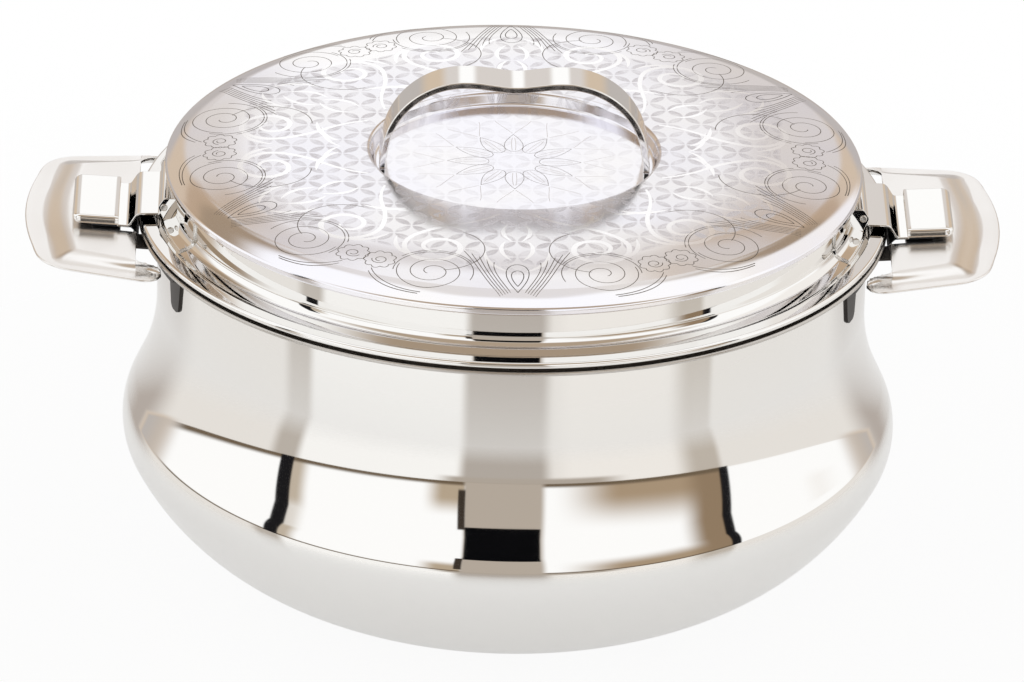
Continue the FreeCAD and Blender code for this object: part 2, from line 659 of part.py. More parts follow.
rivets, rivet_holes = [], []
for side, along in (("front", "-rivet_half_pitch"), ("back", "rivet_half_pitch")):
    rivets.append(fuse(
        f"rivet_{side}",
        upright_rod(f"rivet_{side}_shank", "rivet_radius", "-claw_sheet - rivet_head_thick/2",
                    "lever_sheet + rivet_head_thick/2", along),
        upright_rod(f"rivet_{side}_foot", "rivet_head_radius", "-claw_sheet - rivet_head_thick",
                    "-claw_sheet", along),
        upright_rod(f"rivet_{side}_head", "rivet_head_radius", "lever_sheet",
                    "lever_sheet + rivet_head_thick", along)))
    rivet_holes.append(upright_rod(f"rivet_{side}_hole", "rivet_radius + rivet_play", "-2*claw_sheet",
                                   "2*lever_sheet", along))
spring_rivets = doc.addObject("Part::Compound", "spring_rivets_right")
spring_rivets.Links = rivets
keep("spring_rivets_right", spring_rivets)

# The knuckle is a curl about the pin, open below on the side of the strip that runs down from it.
curl_opening = box("curl_opening", ("pin_reach", "pin_reach + knuckle"), ("-2*lever_half", "2*lever_half"),
                   ("pin_height - knuckle - 2*lever_sheet", "pin_height"))
curl = cut("curl", cross_rod("curl_outside", "knuckle + lever_sheet", "-lever_half", "lever_half"),
           cross_rod("curl_inside", "knuckle", "-2*lever_half", "2*lever_half"), curl_opening)
lever_strip = extruded("lever_strip", sheet_section("lever", lever_underside, "lever_sheet"),
                       "2*lever_half")
tab_side = upright_sketch("tab_side", [
    ("tab_mouth_reach", leaf_height("tab_mouth_reach")),
    ("tab_reach", "valley_height + tab_rise", "tab_bend"),
    ("tab_reach + tab_lean", "tab_top", "tab_bend"),
    ("tab_mouth_reach", "tab_top - tab_return_fall"),
], True)
tab_sides = [extruded(f"tab_side_{side}", tab_side, "lever_sheet", f"{sign}(lever_half - lever_sheet/2)")
             for side, sign in (("front", "-"), ("back", ""))]
lever_blank = fuse("lever_blank", curl, lever_strip, *tab_sides)
keep("latch_lever_right", cut("latch_lever_right", lever_blank, *rivet_holes))

claw_blank = extruded("claw_blank", sheet_section("claw", [
    ("claw_tail_reach", leaf_height("claw_tail_reach")),
    ("claw_drop_reach", leaf_height("claw_drop_reach"), "claw_drop_bend"),
    ("claw_nose_reach", "claw_nose_height", "claw_nose_bend"),
    ("claw_lead_reach", "claw_lead_height"),
], "claw_sheet"), "2*claw_half")
keep("latch_spring_right", cut("latch_spring_right", claw_blank, *rivet_holes))

pin = fuse("hinge_pin_right",
           cross_rod("pin_shank", "pin_radius", "-ear_outer - pin_head_thick/2",
                     "ear_outer + pin_head_thick/2"),
           cross_rod("pin_head_front", "pin_head_radius", "-ear_outer - pin_head_thick", "-ear_outer"),
           cross_rod("pin_head_back", "pin_head_radius", "ear_outer", "ear_outer + pin_head_thick"))
keep("hinge_pin_right", pin)

ear_outline = upright_sketch("ear_outline", [
    ("band_radius - ear_root", "ear_top"),
    ("pin_reach + pin_play", "ear_top", "ear_bend"),
    ("pin_reach + ear_nose", "pin_height", "ear_bend"),
    ("pin_reach + pin_play", "ear_foot"),
    ("band_radius - ear_root", "ear_foot"),
], True)
ears = [extruded(f"ear_{side}", ear_outline, "ear_sheet", f"{sign}(ear_inner + ear_sheet/2)")
        for side, sign in (("front", "-"), ("back", ""))]
strip = revolve("bracket_strip", sheet_section("strip", [
    ("band_radius", "strip_top"),
    ("band_radius", "flare_height", "flare_bend"),
    ("strip_foot_radius", "strip_foot_height"),
], "strip_sheet"), "strip_spread")
strip.Symmetric = True
lid_neck_space = turned_body("lid_neck_space", [("0", "band_top"), ("band_radius", "band_top")]
                             + neck_outside[1:] + [("lip_crown_radius", "lip_bottom"), ("0", "lip_bottom")])
pin_hole = cross_rod("pin_hole", "pin_radius", "-ear_outer - pin_radius", "ear_outer + pin_radius")
keep("latch_bracket_right", cut("latch_bracket_right", fuse("latch_bracket_blank", strip, *ears),
                                lid_neck_space, pin_hole))

for name in [name for name in NODES if name.endswith("_right")]:
    left = name.replace("_right", "_left")
    keep(left, other_side(left, NODES[name]))

# ---------------------------------------------------------------- recompute, check, write

doc.recompute()
for item in doc.Objects:
    if {"Invalid", "Error"} & set(item.State):
        raise RuntimeError(f"{item.Name} is {item.State}")
for name, item in NODES.items():
    if item.Shape.isNull() or not item.Shape.isValid() or not item.Shape.Solids:
        raise RuntimeError(f"{name} has no valid solid")
for name, item in NODES.items():
    item.Shape.exportStep(f"parts/{name}.step")
    corners = item.Shape.optimalBoundingBox(False)
    print(f"{name:24s} solids {len(item.Shape.Solids)} volume {item.Shape.Volume:10.1f} "
          f"x {corners.XMin:7.1f} {corners.XMax:7.1f} z {corners.ZMin:6.1f} {corners.ZMax:6.1f}")
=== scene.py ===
"""Dresses the packed insulated casserole: spun mirror steel, etched lid, bent strap, latches, handles, studio."""

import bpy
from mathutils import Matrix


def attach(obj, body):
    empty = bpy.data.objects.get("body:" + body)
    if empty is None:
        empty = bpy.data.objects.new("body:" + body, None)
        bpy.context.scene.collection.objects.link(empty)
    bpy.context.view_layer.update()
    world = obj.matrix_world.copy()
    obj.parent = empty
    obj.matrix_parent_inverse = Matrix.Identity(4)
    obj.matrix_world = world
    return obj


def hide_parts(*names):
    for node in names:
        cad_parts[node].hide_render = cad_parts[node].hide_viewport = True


bl_info = {
    "name": "Insulated Casserole",
    "version": (1, 0, 0),
    "blender": (4, 5, 0),
    "location": "View3D > Sidebar > Casserole",
    "description": "Spun, pressed and bent steel pieces of an insulated casserole, with their finishes and studio",
    "category": "Object",
}

import math
from functools import partial

import bpy
import numpy as np
from bpy.props import FloatProperty, FloatVectorProperty, IntProperty

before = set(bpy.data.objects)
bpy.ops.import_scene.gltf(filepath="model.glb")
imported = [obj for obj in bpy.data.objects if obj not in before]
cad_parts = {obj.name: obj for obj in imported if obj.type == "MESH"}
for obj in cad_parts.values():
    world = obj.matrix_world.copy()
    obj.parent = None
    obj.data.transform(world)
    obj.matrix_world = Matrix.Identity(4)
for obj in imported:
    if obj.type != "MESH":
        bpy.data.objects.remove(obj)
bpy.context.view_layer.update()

MM = 0.001
SIDES = {"right": 1.0, "left": -1.0}
RING_STEPS = 360          # divisions of a large spun piece, about 2.4 mm at the belly
SEAL_STEPS = 256          # of the seal
DISC_STEPS = 128          # of the bottom plate, which is hidden but for its underside
ARC_STEP = math.radians(7)
CHORD_ERROR = 0.006 * MM  # how far a drawn arc may leave the true one
QUARTER = math.pi / 2
TURN = 2 * math.pi
TINY = 1e-9               # a radius below this lies on the axis
WHITE = (1.0, 1.0, 1.0, 1.0)


# ---------------------------------------------------------------- sizes and colours

def linear(hex_colour):
    """The linear RGB and full alpha of an sRGB hex colour."""
    values = [int(hex_colour[i:i + 2], 16) / 255 for i in (1, 3, 5)]
    return (*(v / 12.92 if v <= 0.04045 else ((v + 0.055) / 1.055) ** 2.4 for v in values), 1.0)


def length(mm, **labels):
    """A length, or several, whose default is given in millimetres."""
    if isinstance(mm, tuple):
        return FloatVectorProperty(default=[v * MM for v in mm], size=len(mm), unit="LENGTH", precision=5, **labels)
    return FloatProperty(default=mm * MM, unit="LENGTH", precision=5, **labels)


def angle(degrees, **labels):
    """An angle whose default is given in degrees."""
    return FloatProperty(default=math.radians(degrees), subtype="ANGLE", **labels)


def euler(degrees, **labels):
    """Three Euler angles whose defaults are given in degrees."""
    return FloatVectorProperty(default=[math.radians(v) for v in degrees], subtype="EULER", **labels)


def number(value, **labels):
    """A plain number."""
    return FloatProperty(default=value, **labels)


def whole(value, **labels):
    """A whole number."""
    return IntProperty(default=value, **labels)


def colour(hex_colour, **labels):
    """A colour with alpha whose default is given as sRGB hex."""
    return FloatVectorProperty(default=linear(hex_colour), size=4, subtype="COLOR", min=0, max=1, **labels)


def settings(name, text, **entries):
    """A property group of (default, description, kind) entries. Without a kind they are lengths in millimetres."""
    notes = {key: (kind[0] if kind else length)(value, name=key.replace("_", " ").capitalize(), description=about)
             for key, (value, about, *kind) in entries.items()}
    return type(name, (bpy.types.PropertyGroup,), {"__doc__": text, "__annotations__": notes})


PotSizes = settings(
    "PotSizes", "Sizes of the double-walled pot.",
    rim_height=(135.8, "Standing face to the top of the rolled rim"),
    neck_radius=(127.5, "Outer radius of the straight neck"),
    rim_overhang=(7.0, "How far the rim stands out from the neck"),
    sheet=(0.5, "Thickness of the shell and of the liner"),
    rim_bend=(0.7, "Radius of the rim's rolled edge"),
    hem_leg=(3.4, "How far the liner is turned back under the shell's flange"),
    hem_play=(0.3, "Room between the flange's edge and the rolled rim"),
    neck_bend=(1.4, "Bend between the neck and its flange"),
    shoulder_height=(86.9, "Corner where the neck turns out to the belly"),
    shoulder_bend=(75.9, "Radius of the hollow shoulder"),
    belly_swell=(14.6, "Belly corner beyond the neck"),
    belly_height=(55.9, "Corner of the belly above the standing face"),
    belly_bend=(21.1, "Radius of the belly"),
    bowl_tuck=(17.3, "Bowl corner inside the belly corner"),
    bowl_height=(23.5, "Corner of the bowl above the standing face"),
    bowl_bend=(87.2, "Radius of the bowl"),
    foot_tuck=(41.1, "Foot corner inside the bowl corner"),
    foot_bend=(75.8, "Radius above the foot"),
    foot_ring=(27.7, "Width of the standing ring"),
    punt_depth=(3.5, "How far the bottom is pressed in"),
    punt_bend=(1.6, "Radius at the edge of the pressed-in bottom"),
    punt_lean=(1.75, "How far the wall of the pressed-in bottom leans in"),
    fill_hole_radius=(8.0, "Radius of the hole the foam is poured through"),
    plate_margin=(8.0, "Bottom plate inside the edge of the pressed-in bottom"),
    plate_sheet=(0.8, "Thickness of the bottom plate"),
    plate_bend=(0.32, "Radius of the bottom plate's edges"),
    wall=(6.0, "Neck to the mouth of the bowl"),
    mouth_bend=(2.5, "Radius from the rim into the bowl"),
    bowl_draft=(8.5, "How much narrower the bowl's floor is than its mouth"),
    floor_foam=(16.0, "Foam between the bottom and the bowl"),
    floor_bend=(26.0, "Radius round the bowl's floor"))


LidSizes = settings(
    "LidSizes", "Sizes of the lid and its strap.",
    gap=(1.1, "Rim to the lid's lip"),
    sheet=(0.6, "Thickness of the lid's outer sheets"),
    liner_sheet=(0.5, "Thickness of the plate under the lid"),
    lip_inset=(0.2, "Lip inside the pot's rim"),
    lip_thick=(2.5, "Height of the rolled lip"),
    lip_bend=(1.05, "Radius of the lip's outer corners"),
    lip_leg=(5.1, "How far the lip is turned in below"),
    lip_fall=(0.2, "Slope of the lip's top"),
    lip_width=(7.1, "Edge of the lip to the crease"),
    lip_crown=(2.2, "Crease to the lip's highest line"),
    lip_crown_bend=(1.5, "Radius along that line"),
    crease_drop=(0.6, "Crease below the lip"),
    crease_bend=(0.9, "Radius of the crease"),
    flare_reach=(6.2, "Crease to the neck band"),
    flare_rise=(1.6, "Height of the flare's corner over the crease"),
    flare_bend=(4.0, "Radius of the flare"),
    band_height=(13.2, "Height of the upright band"),
    band_bend=(0.7, "Radius at the top of the band"),
    edge_overhang=(4.0, "Lid edge beyond the band"),
    edge_rise=(2.0, "Corner of the edge over the band"),
    edge_bend=(1.6, "Radius at the top of the edge"),
    edge_hem_bend=(0.9, "Radius at the foot of the edge"),
    edge_play=(0.3, "Room between the turned-in edge and the band"),
    slope_reach=(5.5, "Width of the sloped border"),
    slope_rise=(3.1, "Height of the sloped border"),
    crown_reach=(27.5, "Sloped border to the crown's corner"),
    crown_slope_bend=(20.0, "Radius between border and crown"),
    crown_rise=(2.5, "Height of the crown over its slope"),
    crown_bend=(400.0, "Radius of the crown's corner"),
    dish_radius=(51.6, "Radius of the round recess"),
    dish_draft=(1.2, "Slope of the recess wall"),
    dish_depth=(4.9, "Depth of the recess"),
    dish_lip_bend=(1.8, "Radius at the top of the recess"),
    dish_floor_bend=(1.4, "Radius at the foot of the recess"),
    plug_play=(2.0, "Room between the plug and the mouth"),
    plug_depth=(13.5, "How deep the liner reaches into the mouth"),
    plug_bend=(4.0, "Radius at the foot of the plug"),
    plug_neck_bend=(2.0, "Radius at the top of the plug"),
    seal_inset=(1.9, "Inner side of the seal beyond the mouth"),
    seal_play=(0.1, "Seal over the rim before the latches pull"),
    seal_side_play=(0.3, "Seal to the turned-in lip"),
    seal_bend=(0.4, "Radius of the seal's edges"),
    seal_groove_half=(0.8, "Half the seal's groove"),
    seal_groove=(0.7, "Depth of the seal's groove"),
    strap_foot_inset=(2.0, "Strap inside the recess wall"),
    strap_foot=(3.0, "Upright foot of the strap"),
    strap_lean=(5.4, "How far the legs lean in"),
    strap_height=(33.8, "Recess floor to the top of the strap"),
    strap_shoulder_bend=(30.0, "Radius of the shoulders"),
    strap_foot_bend=(12.0, "Radius above the feet"),
    strap_hump_reach=(14.0, "Middle to the hump"),
    strap_hump_bend=(45.0, "Radius of the humps"),
    strap_dip=(1.9, "Depth of the dip in the middle"),
    strap_dip_bend=(30.0, "Radius of the dip"),
    strap_sheet=(2.4, "Thickness of the strap"),
    strap_width=(16.0, "Width of the strap"),
    strap_edge=(0.45, "Radius broken on the strap's edges"))


HandleSizes = settings(
    "HandleSizes", "Sizes of the pressed side handles.",
    length=(43.5, "Rim to the middle of the handle's end"),
    tilt=(3.5, "How far the handle rises outward", angle),
    sheet=(0.8, "Thickness of the plate"),
    plateau_drop=(0.9, "Rim to the raised plateau, at the rim"),
    root_half=(56.0, "Half the width at the root"),
    root_inset=(9.5, "How far the root reaches in under the rim"),
    root_bend=(8.0, "Radius of the root's corners"),
    tip_half=(47.5, "Half the width at the tip's corners"),
    tip=(33.5, "Rim to the tip's corners"),
    tip_bend=(16.0, "Radius of the tip's corners"),
    apex_bend=(140.0, "Radius of the bowed end"),
    flange=((7.4, 3.9, 5.5, 9.4), "Width of the flat rim at the root, the side, the tip's corners and the end"),
    step_bend=(5.0, "Corner radius at the foot of the slopes"),
    slope=((1.0, 5.0, 5.5, 6.0), "Width of the slope at the root, the side, the tip's corners and the end"),
    plateau_bend=(3.0, "Corner radius of the plateau"),
    rise=(2.6, "Flange to plateau"),
    rim_play=(0.5, "Plate to the pot's rim"),
    root_stand=(3.8, "Neck to the plate's root below the rim"),
    notch_half=(19.0, "Half the width of the notch for the claw"),
    notch_length=(6.0, "Rim to the end of the notch"),
    fold=(3.0, "How softly the plateau rolls over into its slopes"),
    foot_fold=(2.1, "How softly the slopes run out into the flat rim"),
    dimple=(0.5, "Height of the pressed bump at each root"),
    dimple_out=(-3.6, "Rim to the bump's middle"),
    dimple_in=(7.0, "Side of the root to the bump's middle"),
    dimple_spread=(2.8, "Standard deviation of the bump"))


LatchSizes = settings(
    "LatchSizes", "Sizes of the latches, their brackets, pins and claws.",
    pin_radius=(0.8, "Radius of the hinge pin"),
    pin_stand=(3.9, "Lid's band to the pin"),
    pin_rise=(5.4, "Lip to the pin"),
    pin_play=(0.15, "Room round the pin"),
    head_radius=(1.3, "Radius of the pin's heads"),
    head_thick=(0.5, "Height of the pin's heads"),
    head_bend=(0.3, "Radius over the heads"),
    head_foot_bend=(0.1, "Radius at the heads' inner edges"),
    shank_bend=(0.05, "Radius between shank and heads"),
    sheet=(0.8, "Thickness of the lever"),
    half=(18.4, "Half the lever's width"),
    saddle_rise=(1.9, "Lip to the lever's saddle"),
    saddle_bend=(1.3, "Radius from knuckle to saddle"),
    hump_inset=(0.1, "Hump inside the lip's edge"),
    hump_fall=(0.2, "Slope of the saddle"),
    hump_bend=(2.2, "Radius over the lip's edge"),
    valley_out=(2.7, "Rim to the valley"),
    valley_rise=(0.5, "Rim up to the valley"),
    valley_bend=(2.4, "Radius of the valley"),
    tab_length=(20.1, "Valley to the tab's end"),
    tab_rise=(1.1, "How far the tab rises"),
    tab_lean=(0.3, "How far its end leans out"),
    tab_thick=(3.75, "Height of the tab"),
    tab_return=(16.5, "How far the tab is folded back"),
    tab_return_fall=(0.9, "How far the folded leaf falls"),
    tab_corner=(3.2, "Radius of the tab's corners, from above"),
    tab_bend=(1.3, "Radius along the tab's edges"),
    tab_bend_inside=(0.52, "The same inside the tab"),
    tab_bend_most=(0.42, "The largest share of the tab's height that this radius takes", number),
    ear_play=(0.4, "Lever to the ears"),
    ear_sheet=(0.8, "Thickness of the ears"),
    ear_nose=(2.2, "Ear beyond the pin"),
    ear_rise=(3.4, "Ear above the pin"),
    ear_fall=(4.8, "Ear below the pin"),
    ear_bend=(1.2, "Radius of the ear's corners"),
    strip_sheet=(0.8, "Thickness of the curved strip"),
    strip_margin=(4.6, "Strip below the top of the band"),
    strip_spread=(41.0, "Angle that the strip covers", angle),
    strip_foot_margin=(0.8, "Strip inside the crease"),
    claw_sheet=(0.5, "Thickness of the spring claw"),
    claw_side=(0.9, "Claw inside the lever's edge"),
    claw_length=(13.3, "Valley to the claw's tail"),
    claw_play=(2.1, "Rim to the claw"),
    claw_drop_bend=(1.2, "Radius where the claw turns down"),
    claw_bite=(1.0, "How far the claw reaches in under the rim"),
    claw_nose_drop=(0.9, "Rim's underside to the nose"),
    claw_nose_bend=(0.8, "Radius of the nose"),
    claw_lead=(2.2, "How far the lead-in turns out"),
    claw_lead_drop=(2.0, "How far the lead-in turns down"),
    claw_edge=(0.15, "Radius along the claw's edges"),
    ear_edge=(0.2, "Radius along the ears' edges"),
    ear_foot_bend=(0.3, "Radius at the lower corner of the ears"),
    lever_edge=(0.3, "Radius along the lever's edges"),
    tab_crown=(0.2, "How far the tab's top falls to its sides"),
    tab_mouth_edge=(0.1, "How far the tab's mouth is rounded"),
    tab_overlap=(0.6, "How far the lever's strip runs into the tab"))


EtchingSettings = settings(
    "EtchingSettings", "The etched ornament on the lid",
    cell=(8.7, "Pitch of the lattice of petals"),
    petal=(0.69, "Distance from the end of a lattice line at which its petal ends, in cells", number),
    petal_soft=(0.03, "How softly the petal ends, in cells", number),
    fan=(38.0, "How closely lines shade a petal, in waves per radian times a turn", number),
    fan_along=(0.42, "Middle of the shading's fan along the petal, in cells", number),
    fan_across=(0.62, "Middle of the shading's fan across the petal, in cells", number),
    shading=(0.3, "How much the shading lines weaken and deepen the bite", number),
    bite=(0.45, "The faintest petal's bite, as a share of the deepest", number),
    ground=(0.16, "Frost between the petals", number),
    recess=(0.35, "Bite in the recess, as a share of that outside", number),
    recess_fade=((-3.1, 0.9), "From where to where over the recess's edge the bite grows"),
    reach=(100.0, "Middle radius of the lattice's lobed edge"),
    lobe=(5.0, "How far the lobes stand out"),
    lobe_soft=(0.8, "How softly the lattice ends there"),
    lobes=(6, "How often the ornament repeats", whole),
    line=(0.42, "Width of the outlines"),
    proud=(0.02, "Crest of the ribbons over the crown"),
    sink=(0.01, "Edges of the ribbons below the crown"),
    keel=(0.03, "Underside of the ribbons below the crown"),
    rosette=(12, "How often the rosette's half petals repeat, each with its mirror image", whole),
    polish=(0.1, "Roughness of the bare lid", number),
    matt=(0.4, "Roughness of the deepest bite", number),
    bare=("#F4F2F2", "Colour of the bare lid", colour),
    pearl=("#F1F0F6", "Colour to which it drifts over a few centimetres", colour),
    bitten=("#D0CED5", "Colour of the deepest bite", colour))


StudioSettings = settings(
    "StudioSettings", "Camera and floor",
    place=((-66.977, -3197.453, 1577.504), "Where the camera stands"),
    facing=((64.98054, -1.29232, -0.61189), "How the camera is turned", euler),
    focal=(343.3, "Focal length in millimetres", number),
    sensor=(36.0, "Width of the camera's sensor in millimetres", number),
    sight=(20000.0, "How far the camera sees"),
    room_light=(1.1, "Strength of the room in the metal", number),
    backdrop=(1.0, "Strength of the white behind everything", number),
    fill=(0.85, "Strength of the light on all that is not metal", number),
    floor_radius=(600.0, "Radius of the pale floor"),
    floor_drop=(0.05, "Floor below the standing ring"),
    floor_clear=(200.0, "Radius where the floor starts to fade"),
    floor_gone=(500.0, "Radius where the floor has faded away"),
    floor_glow=(0.92, "Share of the floor's brightness that is its own for the camera, so that it stays pale", number),
    floor_mirrored=(0.4, "The same share for metal", number),
    floor_colour=("#F6F5F3", "Colour of the floor", colour))


# ---------------------------------------------------------------- profiles

def unit(vectors):
    """Each vector divided by its length."""
    vectors = np.asarray(vectors, float)
    return vectors / np.linalg.norm(vectors, axis=-1, keepdims=True)


def safe_unit(vectors):
    """Each vector divided by its length, and straight up where it has none."""
    return unit(np.where(np.linalg.norm(vectors, axis=-1, keepdims=True) > 1e-16, vectors, (0, 0, 1)))


def left_of(directions):
    """Each plane direction turned a quarter turn to the left."""
    return np.stack([-directions[..., 1], directions[..., 0]], -1)


def arc_count(bend, turn):
    """How many steps an arc needs: none longer than ARC_STEP, and none that leaves the arc by CHORD_ERROR."""
    step = min(ARC_STEP, 2 * math.sqrt(2 * CHORD_ERROR / bend))
    return max(2, math.ceil(turn / step))


def corner_arc(spot, back, ahead, bend, count=0):
    """The tangent arc in a corner and its left-hand normals: it starts bend / tan(half the angle) before it."""
    half = math.acos(np.clip(back @ ahead, -1, 1)) / 2
    centre = spot + unit(back + ahead) * bend / math.sin(half)
    first = spot + back * bend / math.tan(half) - centre
    turn = math.pi - 2 * half
    way = np.sign(-back[0] * ahead[1] + back[1] * ahead[0])
    angles = way * np.linspace(0, turn, (count or arc_count(bend, turn)) + 1)
    spokes = np.stack([first[0] * np.cos(angles) - first[1] * np.sin(angles),
                       first[0] * np.sin(angles) + first[1] * np.cos(angles)], -1)
    return centre + spokes, -way * spokes / bend


def bent_line(corners, closed=False):
    """Points and left-hand normals of straight runs joined by tangent arcs.

    A corner is (across, up) or (across, up, bend).
    """
    spots = np.array([corner[:2] for corner in corners], float)
    bends = [corner[2] if len(corner) > 2 else 0.0 for corner in corners]
    count = len(corners)
    points, normals = [], []
    for i in range(count):
        ahead = unit(spots[(i + 1) % count] - spots[i]) if closed or i < count - 1 else None
        back = unit(spots[i - 1] - spots[i]) if closed or i > 0 else None
        if not bends[i]:
            points.append(spots[i][None])
            along = ahead if back is None else -back if ahead is None else unit(ahead - back)
            normals.append(left_of(along)[None])
            continue
        arc, sides = corner_arc(spots[i], back, ahead, bends[i])
        points.append(arc)
        normals.append(sides)
    return np.concatenate(points), np.concatenate(normals)


def matched_line(corners, run=24, arc=12):
    """An open bent line whose runs and arcs have fixed numbers of points, so that several such lines match."""
    spots = np.array([corner[:2] for corner in corners], float)
    parts, start = [], spots[0]
    share = np.linspace(0, 1, run, endpoint=False)[:, None]
    for i in range(1, len(corners) - 1):
        curve, _ = corner_arc(spots[i], unit(spots[i - 1] - spots[i]), unit(spots[i + 1] - spots[i]),
                              corners[i][2], arc)
        parts += [start + (curve[0] - start) * share, curve[:-1]]
        start = curve[-1]
    return np.concatenate(parts + [start + (spots[-1] - start) * share, spots[-1:]])


def sheet_outline(line, thickness, side=1):
    """The closed outline of bent sheet: the line, a half-round edge, the line one thickness behind, an edge.

    Side 1 has the sheet to the left of the line. An end on the axis gets no edge. Normals point out of the sheet.
    """
    points, normals = line
    normals = -side * normals
    behind = points - thickness * normals
    sweep = np.linspace(0, math.pi, 9)[1:-1, None]
    parts, outward = [points], [normals]
    ends = ((points[-1], normals[-1], unit(points[-1] - points[-2])),
            (behind[0], -normals[0], unit(points[0] - points[1])))
    for k, (start, normal, along) in enumerate(ends):
        if abs(start[0]) > TINY:
            spokes = normal * np.cos(sweep) + along * np.sin(sweep)
            parts.append(start - normal * thickness / 2 + spokes * thickness / 2)
            outward.append(spokes)
        if k == 0:
            parts.append(behind[::-1])
            outward.append(-normals[::-1])
    return np.concatenate(parts), np.concatenate(outward)


# ---------------------------------------------------------------- meshes

def make_piece(name, surface, body, slot, material, *stands_for):
    """A finished piece from a surface: vertices, their exact normals, and blocks of faces wound either way."""
    vertices, normals, faces = surface
    normals, lists = unit(normals), []
    for block in faces:
        a, b, c = (vertices[block[:, k]] for k in range(3))
        facing = (np.cross(b - a, c - a) * normals[block[:, :3]].sum(1)).sum(1)
        lists += np.where((facing < 0)[:, None], block[:, ::-1], block).tolist()
    mesh = bpy.data.meshes.new(name)
    mesh.from_pydata(vertices.tolist(), [], lists)
    mesh.shade_smooth()
    mesh.normals_split_custom_set_from_vertices(normals.tolist())
    mesh.validate()
    mesh.materials.append(material)
    piece = bpy.data.objects.new(name, mesh)
    bpy.context.scene.collection.objects.link(piece)
    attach(piece, body)
    if stands_for:
        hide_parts(*stands_for)


def grid_faces(index, wrap_rows=False):
    """Quads and triangles between rings of vertex numbers; a quad with one corner twice becomes a triangle."""
    rows = np.concatenate([index, index[:1]]) if wrap_rows else index
    rows = np.concatenate([rows, rows[:, :1]], 1)
    quads = np.stack([rows[:-1, :-1], rows[:-1, 1:], rows[1:, 1:], rows[1:, :-1]], -1).reshape(-1, 4)
    upper, lower = quads[:, 0] == quads[:, 1], quads[:, 2] == quads[:, 3]
    blocks = [quads[~upper & ~lower], quads[upper & ~lower][:, 1:], quads[lower & ~upper][:, :3]]
    return [block for block in blocks if len(block)]


def tube(rings, normals):
    """A closed surface over rings of points: the first and the last ring become its caps."""
    index = np.arange(rings.shape[0] * rings.shape[1]).reshape(rings.shape[:2])
    return rings.reshape(-1, 3), normals.reshape(-1, 3), grid_faces(index) + [index[:1], index[-1:]]


def skinned(rings):
    """A closed surface over rings of points, with normals across the grid's two directions."""
    normals = np.cross(np.roll(rings, -1, 1) - np.roll(rings, 1, 1), np.gradient(rings, axis=0))
    middle = (rings[:-1, :-1] + rings[1:, 1:]) / 2 - rings.reshape(-1, 3).mean(0)
    across = np.cross(rings[1:, 1:] - rings[:-1, :-1], rings[1:, :-1] - rings[:-1, 1:])
    return tube(rings, safe_unit(normals * np.sign((middle * across).sum())))


def turned(flat, angles):
    """Each point (r, z) at (r cos a, r sin a, z) for each angle."""
    return np.stack([flat[:, :1] * np.cos(angles), flat[:, :1] * np.sin(angles),
                     np.repeat(flat[:, 1:], len(angles), 1)], -1)


def spun_surface(outline, steps=RING_STEPS):
    """A closed outline turned once about Z; a point on the axis becomes one vertex."""
    points, normals = outline
    angles = np.linspace(0, TURN, steps, endpoint=False)
    poles = np.abs(points[:, 0]) < TINY
    counts = np.where(poles, 1, steps)
    index = (np.cumsum(counts) - counts)[:, None] + np.where(poles[:, None], 0, np.arange(steps))
    spots, outward = turned(points, angles), turned(normals, angles)
    outward[poles] = [0, 0, 1] * np.sign(normals[poles][:, 1])[:, None, None]
    keep = np.ones(spots.shape[:2], bool)
    keep[poles, 1:] = False
    return spots[keep], outward[keep], grid_faces(index, wrap_rows=True)


def arc_surface(outline, half_angle, steps=48):
    """A closed outline turned about Z through plus and minus an angle about X, with a cap at each end."""
    angles = np.linspace(-half_angle, half_angle, steps + 1)
    return tube(*(turned(part, angles).swapaxes(0, 1) for part in outline))


def strip_surface(line, thickness, half_width, edge):
    """A flat strip bent along a line in the XZ plane: a rounded rectangle carried along, its ends rounded too.

    The section is a rectangle of thickness by width with quarter-round corners. At each end its rounding shrinks to
    edge cos t while it moves on to edge (1 - sin t) from the end, and a cap closes it.
    """
    points, normals = line
    tangents, last = unit(np.gradient(points, axis=0)), len(points) - 1
    spin = (np.linspace(0, QUARTER, 5) + QUARTER * np.arange(4)[:, None]).ravel()
    ray = np.stack([np.cos(spin), np.sin(spin)], -1)
    corner = np.repeat([(1, 1), (-1, 1), (-1, -1), (1, -1)], 5, 0) * (half_width - edge, thickness / 2 - edge)
    ends = np.linspace(0, QUARTER, 4)
    rings, outward = [], []
    for i, t in [(0, t) for t in ends[::-1]] + [(i, 0.0) for i in range(1, last)] + [(last, t) for t in ends]:
        way = {0: -1, last: 1}.get(i, 0) * tangents[i]
        flat = corner + ray * edge * math.cos(t)
        spot = points[i] + normals[i] * (thickness / 2 - flat[:, 1:]) - way * edge * (1 - math.sin(t))
        out = way * math.sin(t) - ray[:, 1:] * normals[i] * math.cos(t)
        rings.append(np.insert(spot, 1, flat[:, 0], 1))
        outward.append(np.insert(out, 1, ray[:, 0] * math.cos(t), 1))
    return tube(np.array(rings), np.array(outward))


def plate_surface(outline, low, high, edge):
    """A flat plate in the XZ plane between two Y values: the outline shrinks by edge (1 - cos t) at its edges."""
    points, normals = outline
    sweep = np.concatenate([np.linspace(-QUARTER, 0, 4), np.linspace(0, QUARTER, 4)])[:, None]
    level = np.repeat([low + edge, high - edge], 4)[:, None] + edge * np.sin(sweep)
    flat = points - normals * (edge * (1 - np.cos(sweep)))[..., None]
    lay = lambda plane, across: np.stack([plane[..., 0], np.broadcast_to(across, plane.shape[:2]), plane[..., 1]], -1)
    return tube(lay(flat, level), lay(normals * np.cos(sweep)[..., None], np.sin(sweep)))


